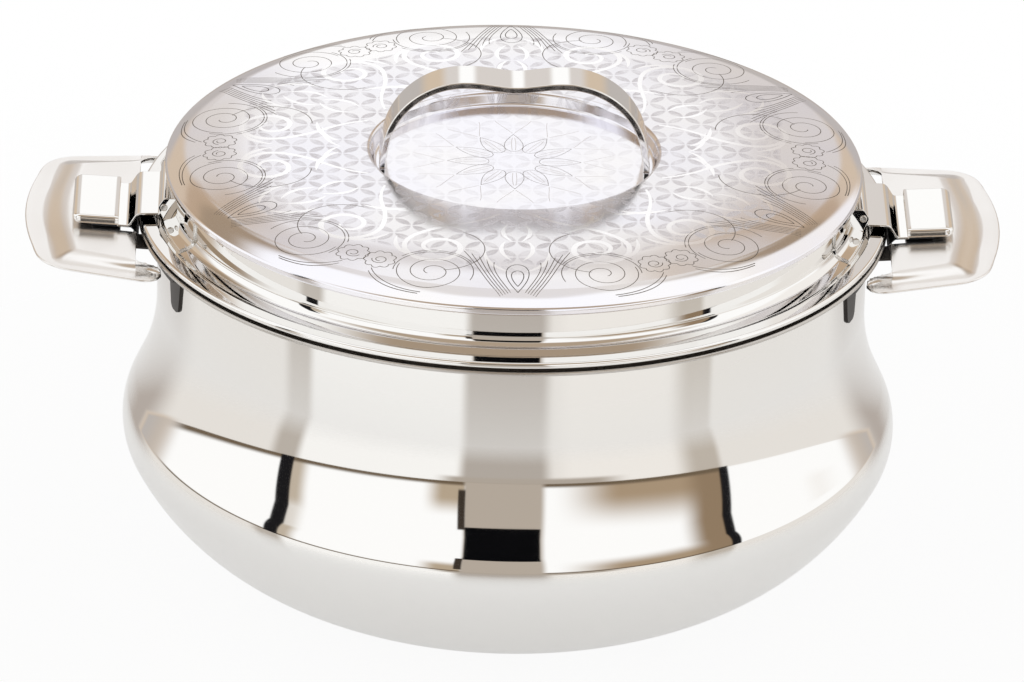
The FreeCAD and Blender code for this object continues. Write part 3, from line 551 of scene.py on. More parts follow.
def cross_rod(profile, reach, height, steps=28):
    """A rod along Y at a reach and height, turned from a profile of (radius, along) points that ends at its poles."""
    vertices, normals, faces = spun_surface(bent_line(profile), steps)
    return vertices[:, [0, 2, 1]] + [reach, 0, height], normals[:, [0, 2, 1]], faces


def half_turned(surface, sign):
    """The surface as it is for the right side, and turned half a turn about Z for the left."""
    vertices, normals, faces = surface
    return vertices * [sign, sign, 1], normals * [sign, sign, 1], faces


def joined(surfaces):
    """Several surfaces as one mesh."""
    vertices, normals, faces = zip(*surfaces)
    starts = np.cumsum([0] + [len(part) for part in vertices])
    return (np.concatenate(vertices), np.concatenate(normals),
            [block + start for blocks, start in zip(faces, starts) for block in blocks])


# ---------------------------------------------------------------- finishes

def node(tree, kind, inputs=(), **properties):
    """Add a node, set its properties, and fill its inputs, by number or name, with values or other nodes' outputs."""
    made = tree.nodes.new(kind)
    for key, value in properties.items():
        setattr(made, key, value)
    for key, value in dict(inputs).items():
        if isinstance(value, bpy.types.NodeSocket):
            tree.links.new(value, made.inputs[key])
        else:
            made.inputs[key].default_value = value
    return made


def maths(tree, operation, *values):
    """The output of a math node over values or other outputs."""
    return node(tree, "ShaderNodeMath", enumerate(values), operation=operation).outputs[0]


def ramp(tree, value, start, end, low=0.0, high=1.0, kind="LINEAR"):
    """A value's range from start to end laid over low to high, and held beyond."""
    return node(tree, "ShaderNodeMapRange", enumerate((value, start, end, low, high)),
                interpolation_type=kind).outputs[0]


def blend(tree, share, first, second):
    """Two colours, each sRGB hex, linear values or an output, mixed by a share."""
    first, second = (linear(item) if isinstance(item, str) else item for item in (first, second))
    return node(tree, "ShaderNodeMix", {0: share, 6: first, 7: second}, data_type="RGBA").outputs[2]


def noise(tree, place, scale, detail):
    """Noise over the object's coordinates, from 0 to 1."""
    return node(tree, "ShaderNodeTexNoise", {"Vector": place, "Scale": scale, "Detail": detail}).outputs["Fac"]


def shader_material(name, **inputs):
    """A material with one Principled shader, its node tree, the shader and the object's coordinates."""
    material = bpy.data.materials.new(name)
    material.use_nodes = True
    tree = material.node_tree
    tree.nodes.clear()
    shader = node(tree, "ShaderNodeBsdfPrincipled", inputs)
    node(tree, "ShaderNodeOutputMaterial", {"Surface": shader.outputs["BSDF"]})
    return material, tree, shader, node(tree, "ShaderNodeTexCoord").outputs["Object"]


CLOUD_SCALE = 28.0         # of the noise that makes the polishing clouds: they are some centimetres wide
CLOUD_RANGE = (0.35, 0.7)  # where in the noise a cloud begins and where it is full

# Each finish of bare steel: sRGB tint, least roughness, and how much the polishing clouds add to it.
FINISHES = {
    # a buffing wheel leaves the pot, the lid's neck and the levers as clear mirrors
    "mirror_polished_stainless": ("#F2F1EF", 0.025, 0.02),
    # the thick strap is buffed by hand, a little softer than the spun pieces
    "buffed_strap_stainless": ("#F3F2F0", 0.055, 0.03),
    # pressed plates keep a milky bloom from the dies under their polish
    "pressed_plate_stainless": ("#F3F1EF", 0.2, 0.05),
    # the spun bowl, the liner and the bottom plate are brushed dull
    "satin_stainless": ("#C9C5C0", 0.24, 0.08),
    # drawn wire and rivets keep the die's grey skin
    "drawn_pin_stainless": ("#D8D4CF", 0.16, 0.06),
    # tempered spring steel goes blue-black
    "blued_spring_steel": ("#43474C", 0.26, 0.08),
    # painted shade: the brackets under the handles are coloured dark for the shade and dark reflections that fall
    # there
    "painted_shade_dark_stainless": ("#3B3836", 0.30, 0.10),
    # shallow acid lines scatter most of what would be mirrored
    "acid_etched_line": ("#77706A", 0.45, 0.05),
    # a lighter bite in the recess
    "pale_etched_line": ("#DEDBDC", 0.30, 0.05),
    # ribbons left bright between the frosted petals
    "bright_scroll_stainless": ("#FBFAFB", 0.12, 0.04),
}


def finish(name):
    """One of the steel finishes: a neutral mirror whose polishing clouds soften the reflection."""
    if name not in bpy.data.materials:
        tint, roughness, swirl = FINISHES[name]
        _, tree, shader, place = shader_material(name, **{"Base Color": linear(tint), "Metallic": 1})
        clouds = ramp(tree, noise(tree, place, CLOUD_SCALE, 3.0), *CLOUD_RANGE, roughness, roughness + swirl)
        tree.links.new(clouds, shader.inputs["Roughness"])
    return bpy.data.materials[name]


def etched_lid_stainless(etching, recess_edge):
    """Buffed stainless lid with an acid-etched lattice of petals: frosted lens shapes shaded by fans of lines.

    The lattice stands on its corner. The distance to its nearest line, each way, gives far (larger) and near
    (smaller). A point lies in a petal where the root of (1 - far)^2 + near^2 is under the petal's size. A lobed
    circle, reach + lobe cos(lobes a), bounds the lattice.
    """
    material, tree, shader, place = shader_material("etched_lid_stainless", Metallic=1)
    use = partial(maths, tree)
    root = lambda a, b: use("SQRT", use("ADD", use("POWER", a, 2.0), use("POWER", b, 2.0)))
    parts = node(tree, "ShaderNodeSeparateXYZ", {0: place}).outputs
    x, y = (use("PINGPONG", use("DIVIDE", use(way, parts["X"], parts["Y"]), etching.cell * math.sqrt(2)), 0.5)
            for way in ("ADD", "SUBTRACT"))
    far, near = use("MAXIMUM", x, y), use("MINIMUM", x, y)
    petal = ramp(tree, root(use("SUBTRACT", 1.0, far), near), etching.petal - etching.petal_soft, etching.petal,
                 1.0, 0.0)
    fan = use("ARCTAN2", use("SUBTRACT", far, etching.fan_along), use("SUBTRACT", etching.fan_across, near))
    lines = use("MULTIPLY_ADD", use("SINE", use("MULTIPLY", fan, etching.fan)), etching.shading,
                1.0 - etching.shading)
    # some petals are bitten deeper than others
    depth = ramp(tree, noise(tree, place, 130.0, 1.0), 0.35, 0.65, etching.bite, 1.0)
    frost = use("MAXIMUM", use("MULTIPLY", use("MULTIPLY", petal, lines), depth), etching.ground)
    around = use("MULTIPLY_ADD", use("ARCTAN2", parts["Y"], parts["X"]), float(etching.lobes),
                 etching.lobes * QUARTER)
    border = use("MULTIPLY_ADD", use("COSINE", around), etching.lobe, etching.reach)
    radius = root(parts["X"], parts["Y"])
    zone = ramp(tree, use("SUBTRACT", border, radius), -etching.lobe_soft, etching.lobe_soft)
    start, end = etching.recess_fade
    recess = ramp(tree, radius, recess_edge + start, recess_edge + end, etching.recess, 1.0)
    frost = use("MULTIPLY", use("MULTIPLY", frost, zone), recess)
    drift = ramp(tree, noise(tree, place, 22.0, 3.0), 0.38, 0.62)
    tree.links.new(blend(tree, frost, blend(tree, drift, etching.bare, etching.pearl), etching.bitten),
                   shader.inputs["Base Color"])
    tree.links.new(ramp(tree, frost, 0.0, 1.0, etching.polish, etching.matt), shader.inputs["Roughness"])
    return material


def moulded_silicone():
    """Moulded silicone rubber: warm grey, soft sheen, a fine mould grain."""
    material, tree, shader, place = shader_material("moulded_silicone", **{"Base Color": linear("#80766E")})
    tree.links.new(ramp(tree, noise(tree, place, 900.0, 2.0), 0.0, 1.0, 0.5, 0.66), shader.inputs["Roughness"])
    return material


def poured_foam():
    """Poured polyurethane foam: cream, matt, closed cells about a millimetre wide under a thin skin."""
    material, tree, shader, place = shader_material("poured_polyurethane_foam", Roughness=0.85)
    cells = node(tree, "ShaderNodeTexVoronoi", {"Vector": place, "Scale": 850.0}).outputs["Distance"]
    tree.links.new(blend(tree, cells, "#D9C68F", "#F0E4BC"), shader.inputs["Base Color"])
    bump = node(tree, "ShaderNodeBump", {"Height": cells, "Strength": 0.5, "Distance": 0.4 * MM})
    tree.links.new(bump.outputs["Normal"], shader.inputs["Normal"])
    return material


def dress(node_name, material):
    """Give a CAD node its material."""
    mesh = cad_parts[node_name].data
    mesh.materials.clear()
    mesh.materials.append(material)


# ---------------------------------------------------------------- profiles of the pieces

class PotPlan:
    """Radii and heights of the pot that follow from its sizes."""

    def __init__(self, pot):
        self.rim = pot.neck_radius + pot.rim_overhang
        self.flange_height = pot.rim_height - 2 * pot.sheet
        self.hem_height = pot.rim_height - 3 * pot.sheet
        self.mouth = pot.neck_radius - pot.wall
        self.belly = pot.neck_radius + pot.belly_swell
        self.bowl = self.belly - pot.bowl_tuck
        self.foot = self.bowl - pot.foot_tuck
        self.punt = self.foot - pot.foot_ring


def shell_line(pot):
    """The shell's outer line: flange edge, neck, hollow shoulder, belly, bowl, standing ring, pressed-in bottom."""
    plan = PotPlan(pot)
    return bent_line([
        (plan.rim - pot.sheet - pot.hem_play, plan.flange_height),
        (pot.neck_radius, plan.flange_height, pot.neck_bend),
        (pot.neck_radius, pot.shoulder_height, pot.shoulder_bend), (plan.belly, pot.belly_height, pot.belly_bend),
        (plan.bowl, pot.bowl_height, pot.bowl_bend), (plan.foot, 0.0, pot.foot_bend),
        (plan.punt, 0.0, pot.punt_bend), (plan.punt - pot.punt_lean, pot.punt_depth, pot.punt_bend),
        (pot.fill_hole_radius, pot.punt_depth)])


def liner_line(pot):
    """The liner's line: turned back under the flange, round the rim, over the mouth and down the bowl."""
    plan, floor = PotPlan(pot), pot.punt_depth + pot.sheet + pot.floor_foam
    return bent_line([
        (plan.rim - pot.hem_leg, plan.hem_height), (plan.rim, plan.hem_height, pot.rim_bend),
        (plan.rim, pot.rim_height, pot.rim_bend), (plan.mouth, pot.rim_height, pot.mouth_bend),
        (plan.mouth - pot.bowl_draft, floor, pot.floor_bend), (0.0, floor)])


def disc_outline(pot):
    """The closed outline of the disc behind the filling hole."""
    edge, bend = PotPlan(pot).punt - pot.plate_margin, pot.plate_bend
    low, top = pot.punt_depth - pot.plate_sheet, pot.punt_depth
    points, normals = bent_line([(0.0, low), (edge, low, bend), (edge, top, bend), (0.0, top)])
    return points, -normals


class LidPlan:
    """Radii and heights of the lid that follow from its sizes."""

    def __init__(self, pot, lid):
        self.lip = PotPlan(pot).rim - lid.lip_inset
        self.low = pot.rim_height + lid.gap
        self.lip_top = self.low + lid.lip_thick
        self.crease = self.lip - lid.lip_width
        self.crease_height = self.lip_top - lid.crease_drop
        self.flare_height = self.crease_height + lid.flare_rise
        self.band = self.crease - lid.flare_reach
        self.band_top = self.flare_height + lid.band_height
        self.edge = self.band + lid.edge_overhang
        self.edge_height = self.band_top + lid.edge_rise
        self.slope = self.edge - lid.slope_reach
        self.slope_height = self.edge_height + lid.slope_rise
        self.crown = self.slope - lid.crown_reach
        self.crown_height = self.slope_height + lid.crown_rise
        self.dish_floor = lid.dish_radius - lid.dish_draft
        self.dish_height = self.crown_height - lid.dish_depth
        self.liner_under = self.low + lid.sheet


def crown_line(lid, plan):
    """The lid top's outer line: recess floor and wall, crown, sloped border, turned-in edge."""
    return bent_line([
        (0.0, plan.dish_height), (plan.dish_floor, plan.dish_height, lid.dish_floor_bend),
        (lid.dish_radius, plan.crown_height, lid.dish_lip_bend), (plan.crown, plan.crown_height, lid.crown_bend),
        (plan.slope, plan.slope_height, lid.crown_slope_bend), (plan.edge, plan.edge_height, lid.edge_bend),
        (plan.edge, plan.band_top - lid.sheet, lid.edge_hem_bend),
        (plan.band + lid.band_bend + lid.edge_play, plan.band_top - lid.sheet)])


def neck_line(lid, plan):
    """The lid neck's outer line: flange, upright band, flare, crease and rolled lip."""
    return bent_line([
        (plan.edge - lid.sheet - 2 * lid.edge_play, plan.band_top), (plan.band, plan.band_top, lid.band_bend),
        (plan.band, plan.flare_height, lid.flare_bend), (plan.crease, plan.crease_height, lid.crease_bend),
        (plan.crease + lid.lip_crown, plan.lip_top, lid.lip_crown_bend),
        (plan.lip, plan.lip_top - lid.lip_fall, lid.lip_bend), (plan.lip, plan.low, lid.lip_bend),
        (plan.lip - lid.lip_leg, plan.low)])


def crown_profile(lid, plan):
    """Radii, heights and normals along the crown, from the recess outward, for whatever lies on it."""
    points, normals = crown_line(lid, plan)
    rising = np.concatenate([[True], np.diff(points[:, 0]) > 0]) & (points[:, 0] > lid.dish_radius)
    return points[rising, 0], points[rising, 1], normals[rising]


def liner_plug_line(pot, lid, plan):
    """The lid liner's line: flat under the lip, then down and across as a plug in the mouth."""
    plug, foot = PotPlan(pot).mouth - lid.plug_play, plan.liner_under - lid.plug_depth
    return bent_line([(plan.lip - lid.lip_bend, plan.liner_under), (plug, plan.liner_under, lid.plug_neck_bend),
                      (plug, foot, lid.plug_bend), (0.0, foot)])


def seal_outline(pot, lid, plan):
    """The closed section of the seal, with a groove along the middle of its underside."""
    inner, outer = PotPlan(pot).mouth + lid.seal_inset, plan.lip - lid.lip_leg - lid.seal_side_play
    middle, half, bend = (inner + outer) / 2, lid.seal_groove_half, lid.seal_bend
    low, top = pot.rim_height + lid.seal_play, plan.liner_under
    deep = low + lid.seal_groove
    points, normals = bent_line([
        (inner, top, bend / 2), (inner, low, bend), (middle - 2 * half, low, bend), (middle - half, deep, bend),
        (middle + half, deep, bend), (middle + 2 * half, low, bend), (outer, low, bend), (outer, top, bend / 2)],
        closed=True)
    return points, -normals


def strap_line(lid, plan):
    """The strap's underside: up from one foot, over two humps with a dip between them, and down to the other."""
    foot, top = plan.dish_floor - lid.strap_foot_inset, plan.dish_height + lid.strap_height
    half = [(foot, plan.dish_height), (foot, plan.dish_height + lid.strap_foot, lid.strap_foot_bend),
            (foot - lid.strap_lean, top, lid.strap_shoulder_bend),
            (lid.strap_hump_reach, top, lid.strap_hump_bend)]
    other = [(-corner[0], *corner[1:]) for corner in reversed(half)]
    return bent_line(half + [(0.0, top - lid.strap_dip, lid.strap_dip_bend)] + other)


def handle_surface(pot, handle):
    """A pressed plate as a grid: rows run from the rim over plateau, slope and flange, columns go round the plate.

    A row is the line rim, plateau edge, slope foot, plate edge, its two inner corners rounded by quadratic curves.
    The underside lies one sheet lower along the normals, and a half-round joins the two at the edge.
    """
    rim, half_sheet = PotPlan(pot).rim, handle.sheet / 2
    cos, sin = math.cos(handle.tilt), math.sin(handle.tilt)

    def outline(margins, bend):
        """The plate's outline inside its edge by margins at the root, the side, the tip's corners and the end."""
        root, side, tip, end = margins
        return matched_line([
            (-handle.root_inset, root - handle.root_half), (handle.tip - tip, side - handle.tip_half, bend),
            (handle.length - end, 0, handle.apex_bend), (handle.tip - tip, handle.tip_half - side, bend),
            (-handle.root_inset, handle.root_half - root)])

    def outside(flat, radius):
        """The outline moved out to a radius from the pot's axis where it lies inside it."""
        least = (np.sqrt(np.maximum(radius ** 2 - flat[:, 1] ** 2, 0)) - rim) / cos
        return np.stack([np.maximum(flat[:, 0], least), flat[:, 1]], -1)

    def place(flat, height):
        """Across from the rim, along Y and above the plateau, in the tilted plate."""
        return np.stack([rim + flat[:, 0] * cos - height * sin, flat[:, 1],
                         pot.rim_height - handle.plateau_drop + flat[:, 0] * sin + height * cos], -1)

    edge = outline([half_sheet] * 4, handle.tip_bend)
    foot = outline(handle.flange, handle.step_bend)
    brow = outline(np.add(handle.flange, handle.slope), handle.plateau_bend)
    inner = np.clip(edge[:, 0] + handle.root_inset, 0, handle.root_bend)
    inset = handle.root_bend - np.sqrt(handle.root_bend ** 2 - (handle.root_bend - inner) ** 2)
    least = np.abs(foot[:, 1]) + half_sheet / 2  # the rounded root never cuts into the slope's foot
    edge[:, 1] = np.where(inset > 0, np.sign(edge[:, 1]) * np.maximum(np.abs(edge[:, 1]) - inset, least), edge[:, 1])
    brow = outside(brow, rim + handle.rim_play)
    foot = outside(foot, pot.neck_radius + handle.root_stand)
    lengths = np.concatenate([[0], np.cumsum(np.linalg.norm(np.diff(brow, axis=0), axis=1))])
    along = brow[0, 1] + (brow[-1, 1] - brow[0, 1]) * lengths / lengths[-1]
    start = outside(np.stack([np.full_like(along, -rim), along], -1), rim + handle.rim_play)
    start[:, 0] = np.maximum(start[:, 0], (np.abs(along) < handle.notch_half) * handle.notch_length)
    root, top, low, end = place(start, 0), place(brow, 0), place(foot, -handle.rise), place(edge, -handle.rise)
    part = lambda a, b, share: a + (b - a) * share
    reach = lambda a, b, fold, most: np.minimum(fold / np.maximum(np.linalg.norm(b - a, axis=1)[:, None], TINY), most)
    bend = lambda a, b, c: [a * (1 - t) ** 2 + 2 * b * t * (1 - t) + c * t * t for t in np.linspace(0, 1, 8)]
    # the roundings take at most these shares of the plateau, of the slope from either end, and of the flat rim
    on_plateau, on_slope, on_rim = 0.45, 0.46, 0.8
    before = part(top, root, reach(root, top, handle.fold, on_plateau))
    after = part(low, end, reach(low, end, handle.foot_fold, on_rim))
    upper = np.array([root, part(root, before, 0.03), part(root, before, 0.5),
                      *bend(before, top, part(top, low, on_slope)), *bend(part(low, top, on_slope), low, after),
                      (after + end) / 2, end])
    away = np.stack([upper[..., 0] - rim - handle.dimple_out,
                     np.abs(upper[..., 1]) - handle.root_half + handle.dimple_in]) / handle.dimple_spread
    upper[..., 2] += handle.dimple * np.exp(-(away ** 2).sum(0) / 2)
    normals = safe_unit(np.cross(np.gradient(upper, axis=0), np.gradient(upper, axis=1)))
    normals *= np.sign(normals[..., 2:])
    sweep = np.linspace(0, math.pi, 7)[1:-1, None, None]
    rounded = end + (normals[-1] * (np.cos(sweep) - 1) + unit(end - low) * np.sin(sweep)) * half_sheet
    return skinned(np.concatenate([upper, rounded, (upper - normals * handle.sheet)[::-1]]).swapaxes(0, 1))


class LatchPlan:
    """Reaches and heights of the right-hand latch that follow from its sizes."""

    def __init__(self, pot, lid, latch):
        plan, around = LidPlan(pot, lid), PotPlan(pot)
        self.lid, self.pot, self.flare_bend = plan, around, lid.flare_bend
        self.pin, self.pin_height = plan.band + latch.pin_stand, plan.lip_top + latch.pin_rise
        self.knuckle = latch.pin_radius + latch.pin_play
        self.saddle = plan.lip_top + latch.saddle_rise
        self.hump = plan.lip - latch.hump_inset
        self.valley, self.valley_height = around.rim + latch.valley_out, pot.rim_height + latch.valley_rise
        self.tab = self.valley + latch.tab_length
        self.tab_top = self.valley_height + latch.tab_rise + latch.tab_thick
        self.tab_end = self.tab + latch.tab_lean
        self.mouth = self.tab_end - latch.tab_return
        self.slope = latch.tab_rise / latch.tab_length
        self.ear = latch.half + latch.ear_play

    def leaf(self, reach):
        """Height of the lower leaf's underside at a reach."""
        return self.valley_height + self.slope * (reach - self.valley)


def lever_strip(plan, latch):
    """The lever's strip: a curl of three quarters of a turn about the pin, then saddle, hump, valley and leaf."""
    angles = np.linspace(3 * QUARTER, 0, 40)[:-1]
    ray = np.stack([np.cos(angles), np.sin(angles)], -1)
    knuckle, seam = plan.pin + plan.knuckle, plan.mouth + latch.tab_overlap
    points, normals = bent_line([
        (knuckle, plan.pin_height), (knuckle, plan.saddle, latch.saddle_bend),
        (plan.hump, plan.saddle - latch.hump_fall, latch.hump_bend),
        (plan.valley, plan.valley_height, latch.valley_bend), (seam, plan.leaf(seam))])
    points = np.concatenate([[plan.pin, plan.pin_height] + plan.knuckle * ray, points])
    return strip_surface((points, np.concatenate([ray, normals])), latch.sheet, latch.half, latch.lever_edge)


def tab_surface(plan, latch):
    """The folded tab as a cup that is open towards the pot.

    Its sections across X are rounded rectangles. They narrow by a quarter circle at the outer end, and the top is
    crowned by tab_crown (y / half)^2. The inside repeats them one sheet smaller.
    """
    quarter, corner, mouth = np.linspace(0, QUARTER, 7), latch.tab_corner, plan.mouth + latch.tab_mouth_edge

    def sections(inset, edge_bend):
        """Rings from the mouth to the outer end, all of them inset by a distance."""
        start, sweep = plan.tab_end - inset - corner, np.linspace(0, QUARTER, 8)
        reach = np.concatenate([np.linspace(mouth, start, 9)[:-1], start + corner * np.sin(sweep)])
        ease = np.concatenate([np.zeros(8), 1 - np.cos(sweep)])
        half = latch.half - inset - corner * ease
        low = plan.leaf(reach) + inset + latch.tab_bend * ease
        fall = latch.tab_return_fall * (plan.tab_end - reach) / latch.tab_return
        high = plan.tab_top - fall - inset - latch.tab_bend * ease
        bend = np.minimum(edge_bend, (high - low) * latch.tab_bend_most)[:, None]
        middle, tall = ((high + low) / 2)[:, None], ((high - low) / 2)[:, None]
        rings = []
        for k, (a, b) in enumerate(((1, 1), (-1, 1), (-1, -1), (1, -1))):
            spin = quarter + k * QUARTER
            rings.append(np.stack([a * (half[:, None] - bend) + bend * np.cos(spin),
                                   middle + b * (tall - bend) + bend * np.sin(spin)], -1))
            if a == b:
                edge = a * (half[:, None] - bend) * np.linspace(1, -1, 12)[1:-1]
                rings.append(np.stack([edge, np.broadcast_to(middle + b * tall, edge.shape)], -1))
        flat = np.concatenate(rings, 1)
        flat[..., 1] -= (flat[..., 1] > middle) * latch.tab_crown * (flat[..., 0] / latch.half) ** 2
        return np.concatenate([np.repeat(reach[:, None, None], flat.shape[1], 1), flat], -1)

    outer, inner = sections(0.0, latch.tab_bend), sections(latch.sheet, latch.tab_bend_inside)
    lip = (outer[:1] + inner[:1]) / 2 - [latch.tab_mouth_edge, 0, 0]
    return skinned(np.concatenate([inner[::-1], lip, outer]))


def claw_surface(plan, latch):
    """The spring claw: a strip under the leaf that turns down past the rim, hooks in below it and leads out."""
    tail, drop = plan.valley + latch.claw_length, plan.pot.rim + latch.claw_play
    nose, low = plan.pot.rim - latch.claw_bite, plan.pot.hem_height - latch.claw_nose_drop
    line = bent_line([(tail, plan.leaf(tail)), (drop, plan.leaf(drop), latch.claw_drop_bend),
                      (nose, low, latch.claw_nose_bend), (nose + latch.claw_lead, low - latch.claw_lead_drop)])
    return strip_surface(line, latch.claw_sheet, latch.half - latch.claw_side, latch.claw_edge)


def latch_bracket(plan, latch):
    """The curved strip on the lid's neck and its two ears, each a plate with a rounded nose about the pin."""
    lid, foot = plan.lid, plan.lid.crease - latch.strip_foot_margin
    fall = (lid.flare_height - lid.crease_height) / (lid.crease - lid.band)
    line = bent_line([(lid.band, lid.band_top - latch.strip_margin), (lid.band, lid.flare_height, plan.flare_bend),
                      (foot, lid.flare_height - fall * (foot - lid.band))])
    low, high, nose = plan.pin_height - latch.ear_fall, plan.pin_height + latch.ear_rise, plan.pin + latch.pin_play
    back = math.sqrt(lid.band ** 2 - plan.ear ** 2)
    ear = bent_line([
        (back, high), (nose, high, latch.ear_bend), (plan.pin + latch.ear_nose, plan.pin_height, latch.ear_bend),
        (nose, low, latch.ear_foot_bend), (back, low, plan.flare_bend)], closed=True)
    outer = plan.ear + latch.ear_sheet
    return joined([arc_surface(sheet_outline(line, latch.strip_sheet), latch.strip_spread / 2),
                   plate_surface(ear, -outer, -plan.ear, latch.ear_edge),
                   plate_surface(ear, plan.ear, outer, latch.ear_edge)])


def pin_surface(plan, latch):
    """The hinge pin: a shank through both ears with a low domed head at each end."""
    reach, head, thick = plan.ear + latch.ear_sheet, latch.head_radius, latch.head_thick
    half = [(0.0, reach + thick), (head, reach + thick, latch.head_bend), (head, reach, latch.head_foot_bend),
            (latch.pin_radius, reach, latch.shank_bend)]
    other = [(radius, -along, *bend) for radius, along, *bend in reversed(half)]
    return cross_rod(half + other, plan.pin, plan.pin_height)


# ---------------------------------------------------------------- etched ornament

def spiral(centre, inner, outer, turns, start, count):
    """Points at a distance that grows evenly with the angle."""
    share = np.linspace(0, 1, count)
    ray = inner + (outer - inner) * share
    around = start + TURN * turns * share
    return np.array(centre) + np.stack([ray * np.cos(around), ray * np.sin(around)], -1)


def swing(*corners, count=26):
    """A cubic curve from the first of four corners to the last."""
    a, b, c, d = (np.array(corner, float) for corner in corners)
    t = np.linspace(0, 1, count)[:, None]
    return a * (1 - t) ** 3 + 3 * b * t * (1 - t) ** 2 + 3 * c * t * t * (1 - t) + d * t ** 3


def drop_outline(base, tall, half, count=44):
    """A teardrop about the lobe's axis: (cos t, sin t sin t/2), its point outward."""
    t = np.linspace(0, TURN, count)
    return np.stack([base + tall * (1 + np.cos(t)) / 2, half * np.sin(t) * np.sin(t / 2)], -1)


def taper(count, widest, ends):
    """Half-widths that swell from the ends to the middle of a stroke."""
    return widest * (ends + (1 - ends) * np.sin(np.linspace(0, math.pi, count)) ** 0.8)


def bright_strokes():
    """Scrolls and leaves of half a lobe, as (out from the middle, along), in millimetres, and their half-widths."""
    eye = spiral((85, 28), 2.4, 12.5, 1.5, -0.6, 76)
    tail = swing(eye[-1], eye[-1] + (eye[-1] - eye[-2]) * 9, (68, 17), (57, 6))
    scroll = np.concatenate([eye, tail[1:]])
    strokes = [(scroll, taper(len(scroll), 1.6, 0.4))]
    for a, b, c, d, wide in (
            ((72, 17), (68, 24), (63, 27), (57, 27), 1.5), ((68, 20), (65, 25), (60, 31), (54, 31), 1.1),
            ((88, 11), (94, 12), (100, 9), (103, 3), 1.3), ((80, 4), (85, 6.5), (90, 6), (95, 2), 1.2),
            ((66, 3), (71, 6), (76, 5), (80, 1.5), 1.2), ((76, 42), (82, 43.5), (87, 42), (91, 38), 1.3)):
        strokes.append((swing(a, b, c, d), taper(26, wide, 0.1)))
    return strokes


def fine_strokes():
    """Outlines of half a lobe near the border: coils, palmette, plumes and a scalloped ring, in millimetres."""
    lines = [spiral((103, 30), 2.0, 12.6, 2.2, 0.8, 110), spiral((103, 30), 13.6, 14.8, 0.55, 1.7, 50),
             spiral((103, 30), 15.2, 15.4, 0.3, 2.4, 30), spiral((86, 27), 15.4, 16.2, 0.4, 3.7, 36),
             drop_outline(98, 19.5, 5.2), drop_outline(102.5, 11, 2.8)]
    for k in range(5):
        lines.append(swing((88 + 2.1 * k, 18.5 - 2.6 * k), (98 + k, 14 - 1.3 * k), (107, 12.5 - 1.4 * k),
                           (119.5 - 0.5 * k, 6.2 - 0.9 * k)))
    for k in range(2):
        lines.append(swing((102 - 2 * k, 52 - k), (108 - k, 51 - k), (113, 46.5 - 2 * k), (116.5 - 0.5 * k, 35 - k)))
    t = np.linspace(0, TURN, 110)
    ring = 5.0 + 1.1 * np.abs(np.sin(4.5 * t))
    lines.append(np.array((94.0, 48.0)) + np.stack([ring * np.cos(t), ring * np.sin(t) * 0.95], -1))
    lines.append(spiral((94.0, 48.0), 1.1, 2.9, 1.3, 0.0, 40))
    return lines


def rosette_strokes():
    """Half of one of the recess's petals: its outline and its vein, in millimetres."""
    return [drop_outline(9, 15, 4.4), swing((10, 0.6), (15, 0.9), (19, 0.8), (21, 0.3)),
            swing((25, 0.3), (29, 2.5), (33, 5.5), (36, 6.5))]


def laid_ribbons(strokes, count, lay, etching, proud):
    """Each stroke as a thin four-sided ribbon, mirrored in its lobe and turned round to every lobe.

    Its section is a flat diamond: its edges sink into the surface, the crest stands proud and the keel lies below.
    lay gives the height and the normal's two parts at a radius.
    """
    surfaces = []
    for points, widths in strokes:
        points, widths = points * MM, np.broadcast_to(widths, len(points))[:, None] * MM
        side = left_of(unit(np.gradient(points, axis=0))) * widths
        flat = np.stack([points + side, points, points - side, points], 1)
        height, lean, rise = lay(np.linalg.norm(flat, axis=-1))
        height = height + [-etching.sink, proud, -etching.sink, -etching.keel]
        for mirror in (1, -1):
            for a in np.arange(count) * TURN / count - QUARTER:
                x, y = flat[..., 0], mirror * flat[..., 1]
                spot = np.stack([x * math.cos(a) - y * math.sin(a), x * math.sin(a) + y * math.cos(a), height], -1)
                normals = np.concatenate([unit(spot[..., :2]) * lean[..., None], rise[..., None]], -1)
                surfaces.append(tube(spot, normals * np.array([1, 1, 1, -1])[:, None]))
    return joined(surfaces)


# ---------------------------------------------------------------- operators

class Step:
    """What all the steps share: they build from the scene's settings."""

    def execute(self, context):
        self.build(context.scene)
        return {"FINISHED"}


class CASSEROLE_OT_pot(Step, bpy.types.Operator):
    """Spin the pot's shell, bowl and bottom plate"""
    bl_idname = "casserole.pot"
    bl_label = "Pot"

    def build(self, scene):
        pot, mirror, satin = scene.casserole_pot, finish("mirror_polished_stainless"), finish("satin_stainless")
        make_piece("spun_shell", spun_surface(sheet_outline(shell_line(pot), pot.sheet, -1)),
                   "pot", "mirror_steel", mirror, "outer_shell")
        make_piece("spun_bowl", spun_surface(sheet_outline(liner_line(pot), pot.sheet)),
                   "pot", "satin_steel", satin, "inner_liner")
        make_piece("bottom_plate", spun_surface(disc_outline(pot), DISC_STEPS),
                   "pot", "satin_steel", satin, "base_plate")
        dress("body_insulation", poured_foam())


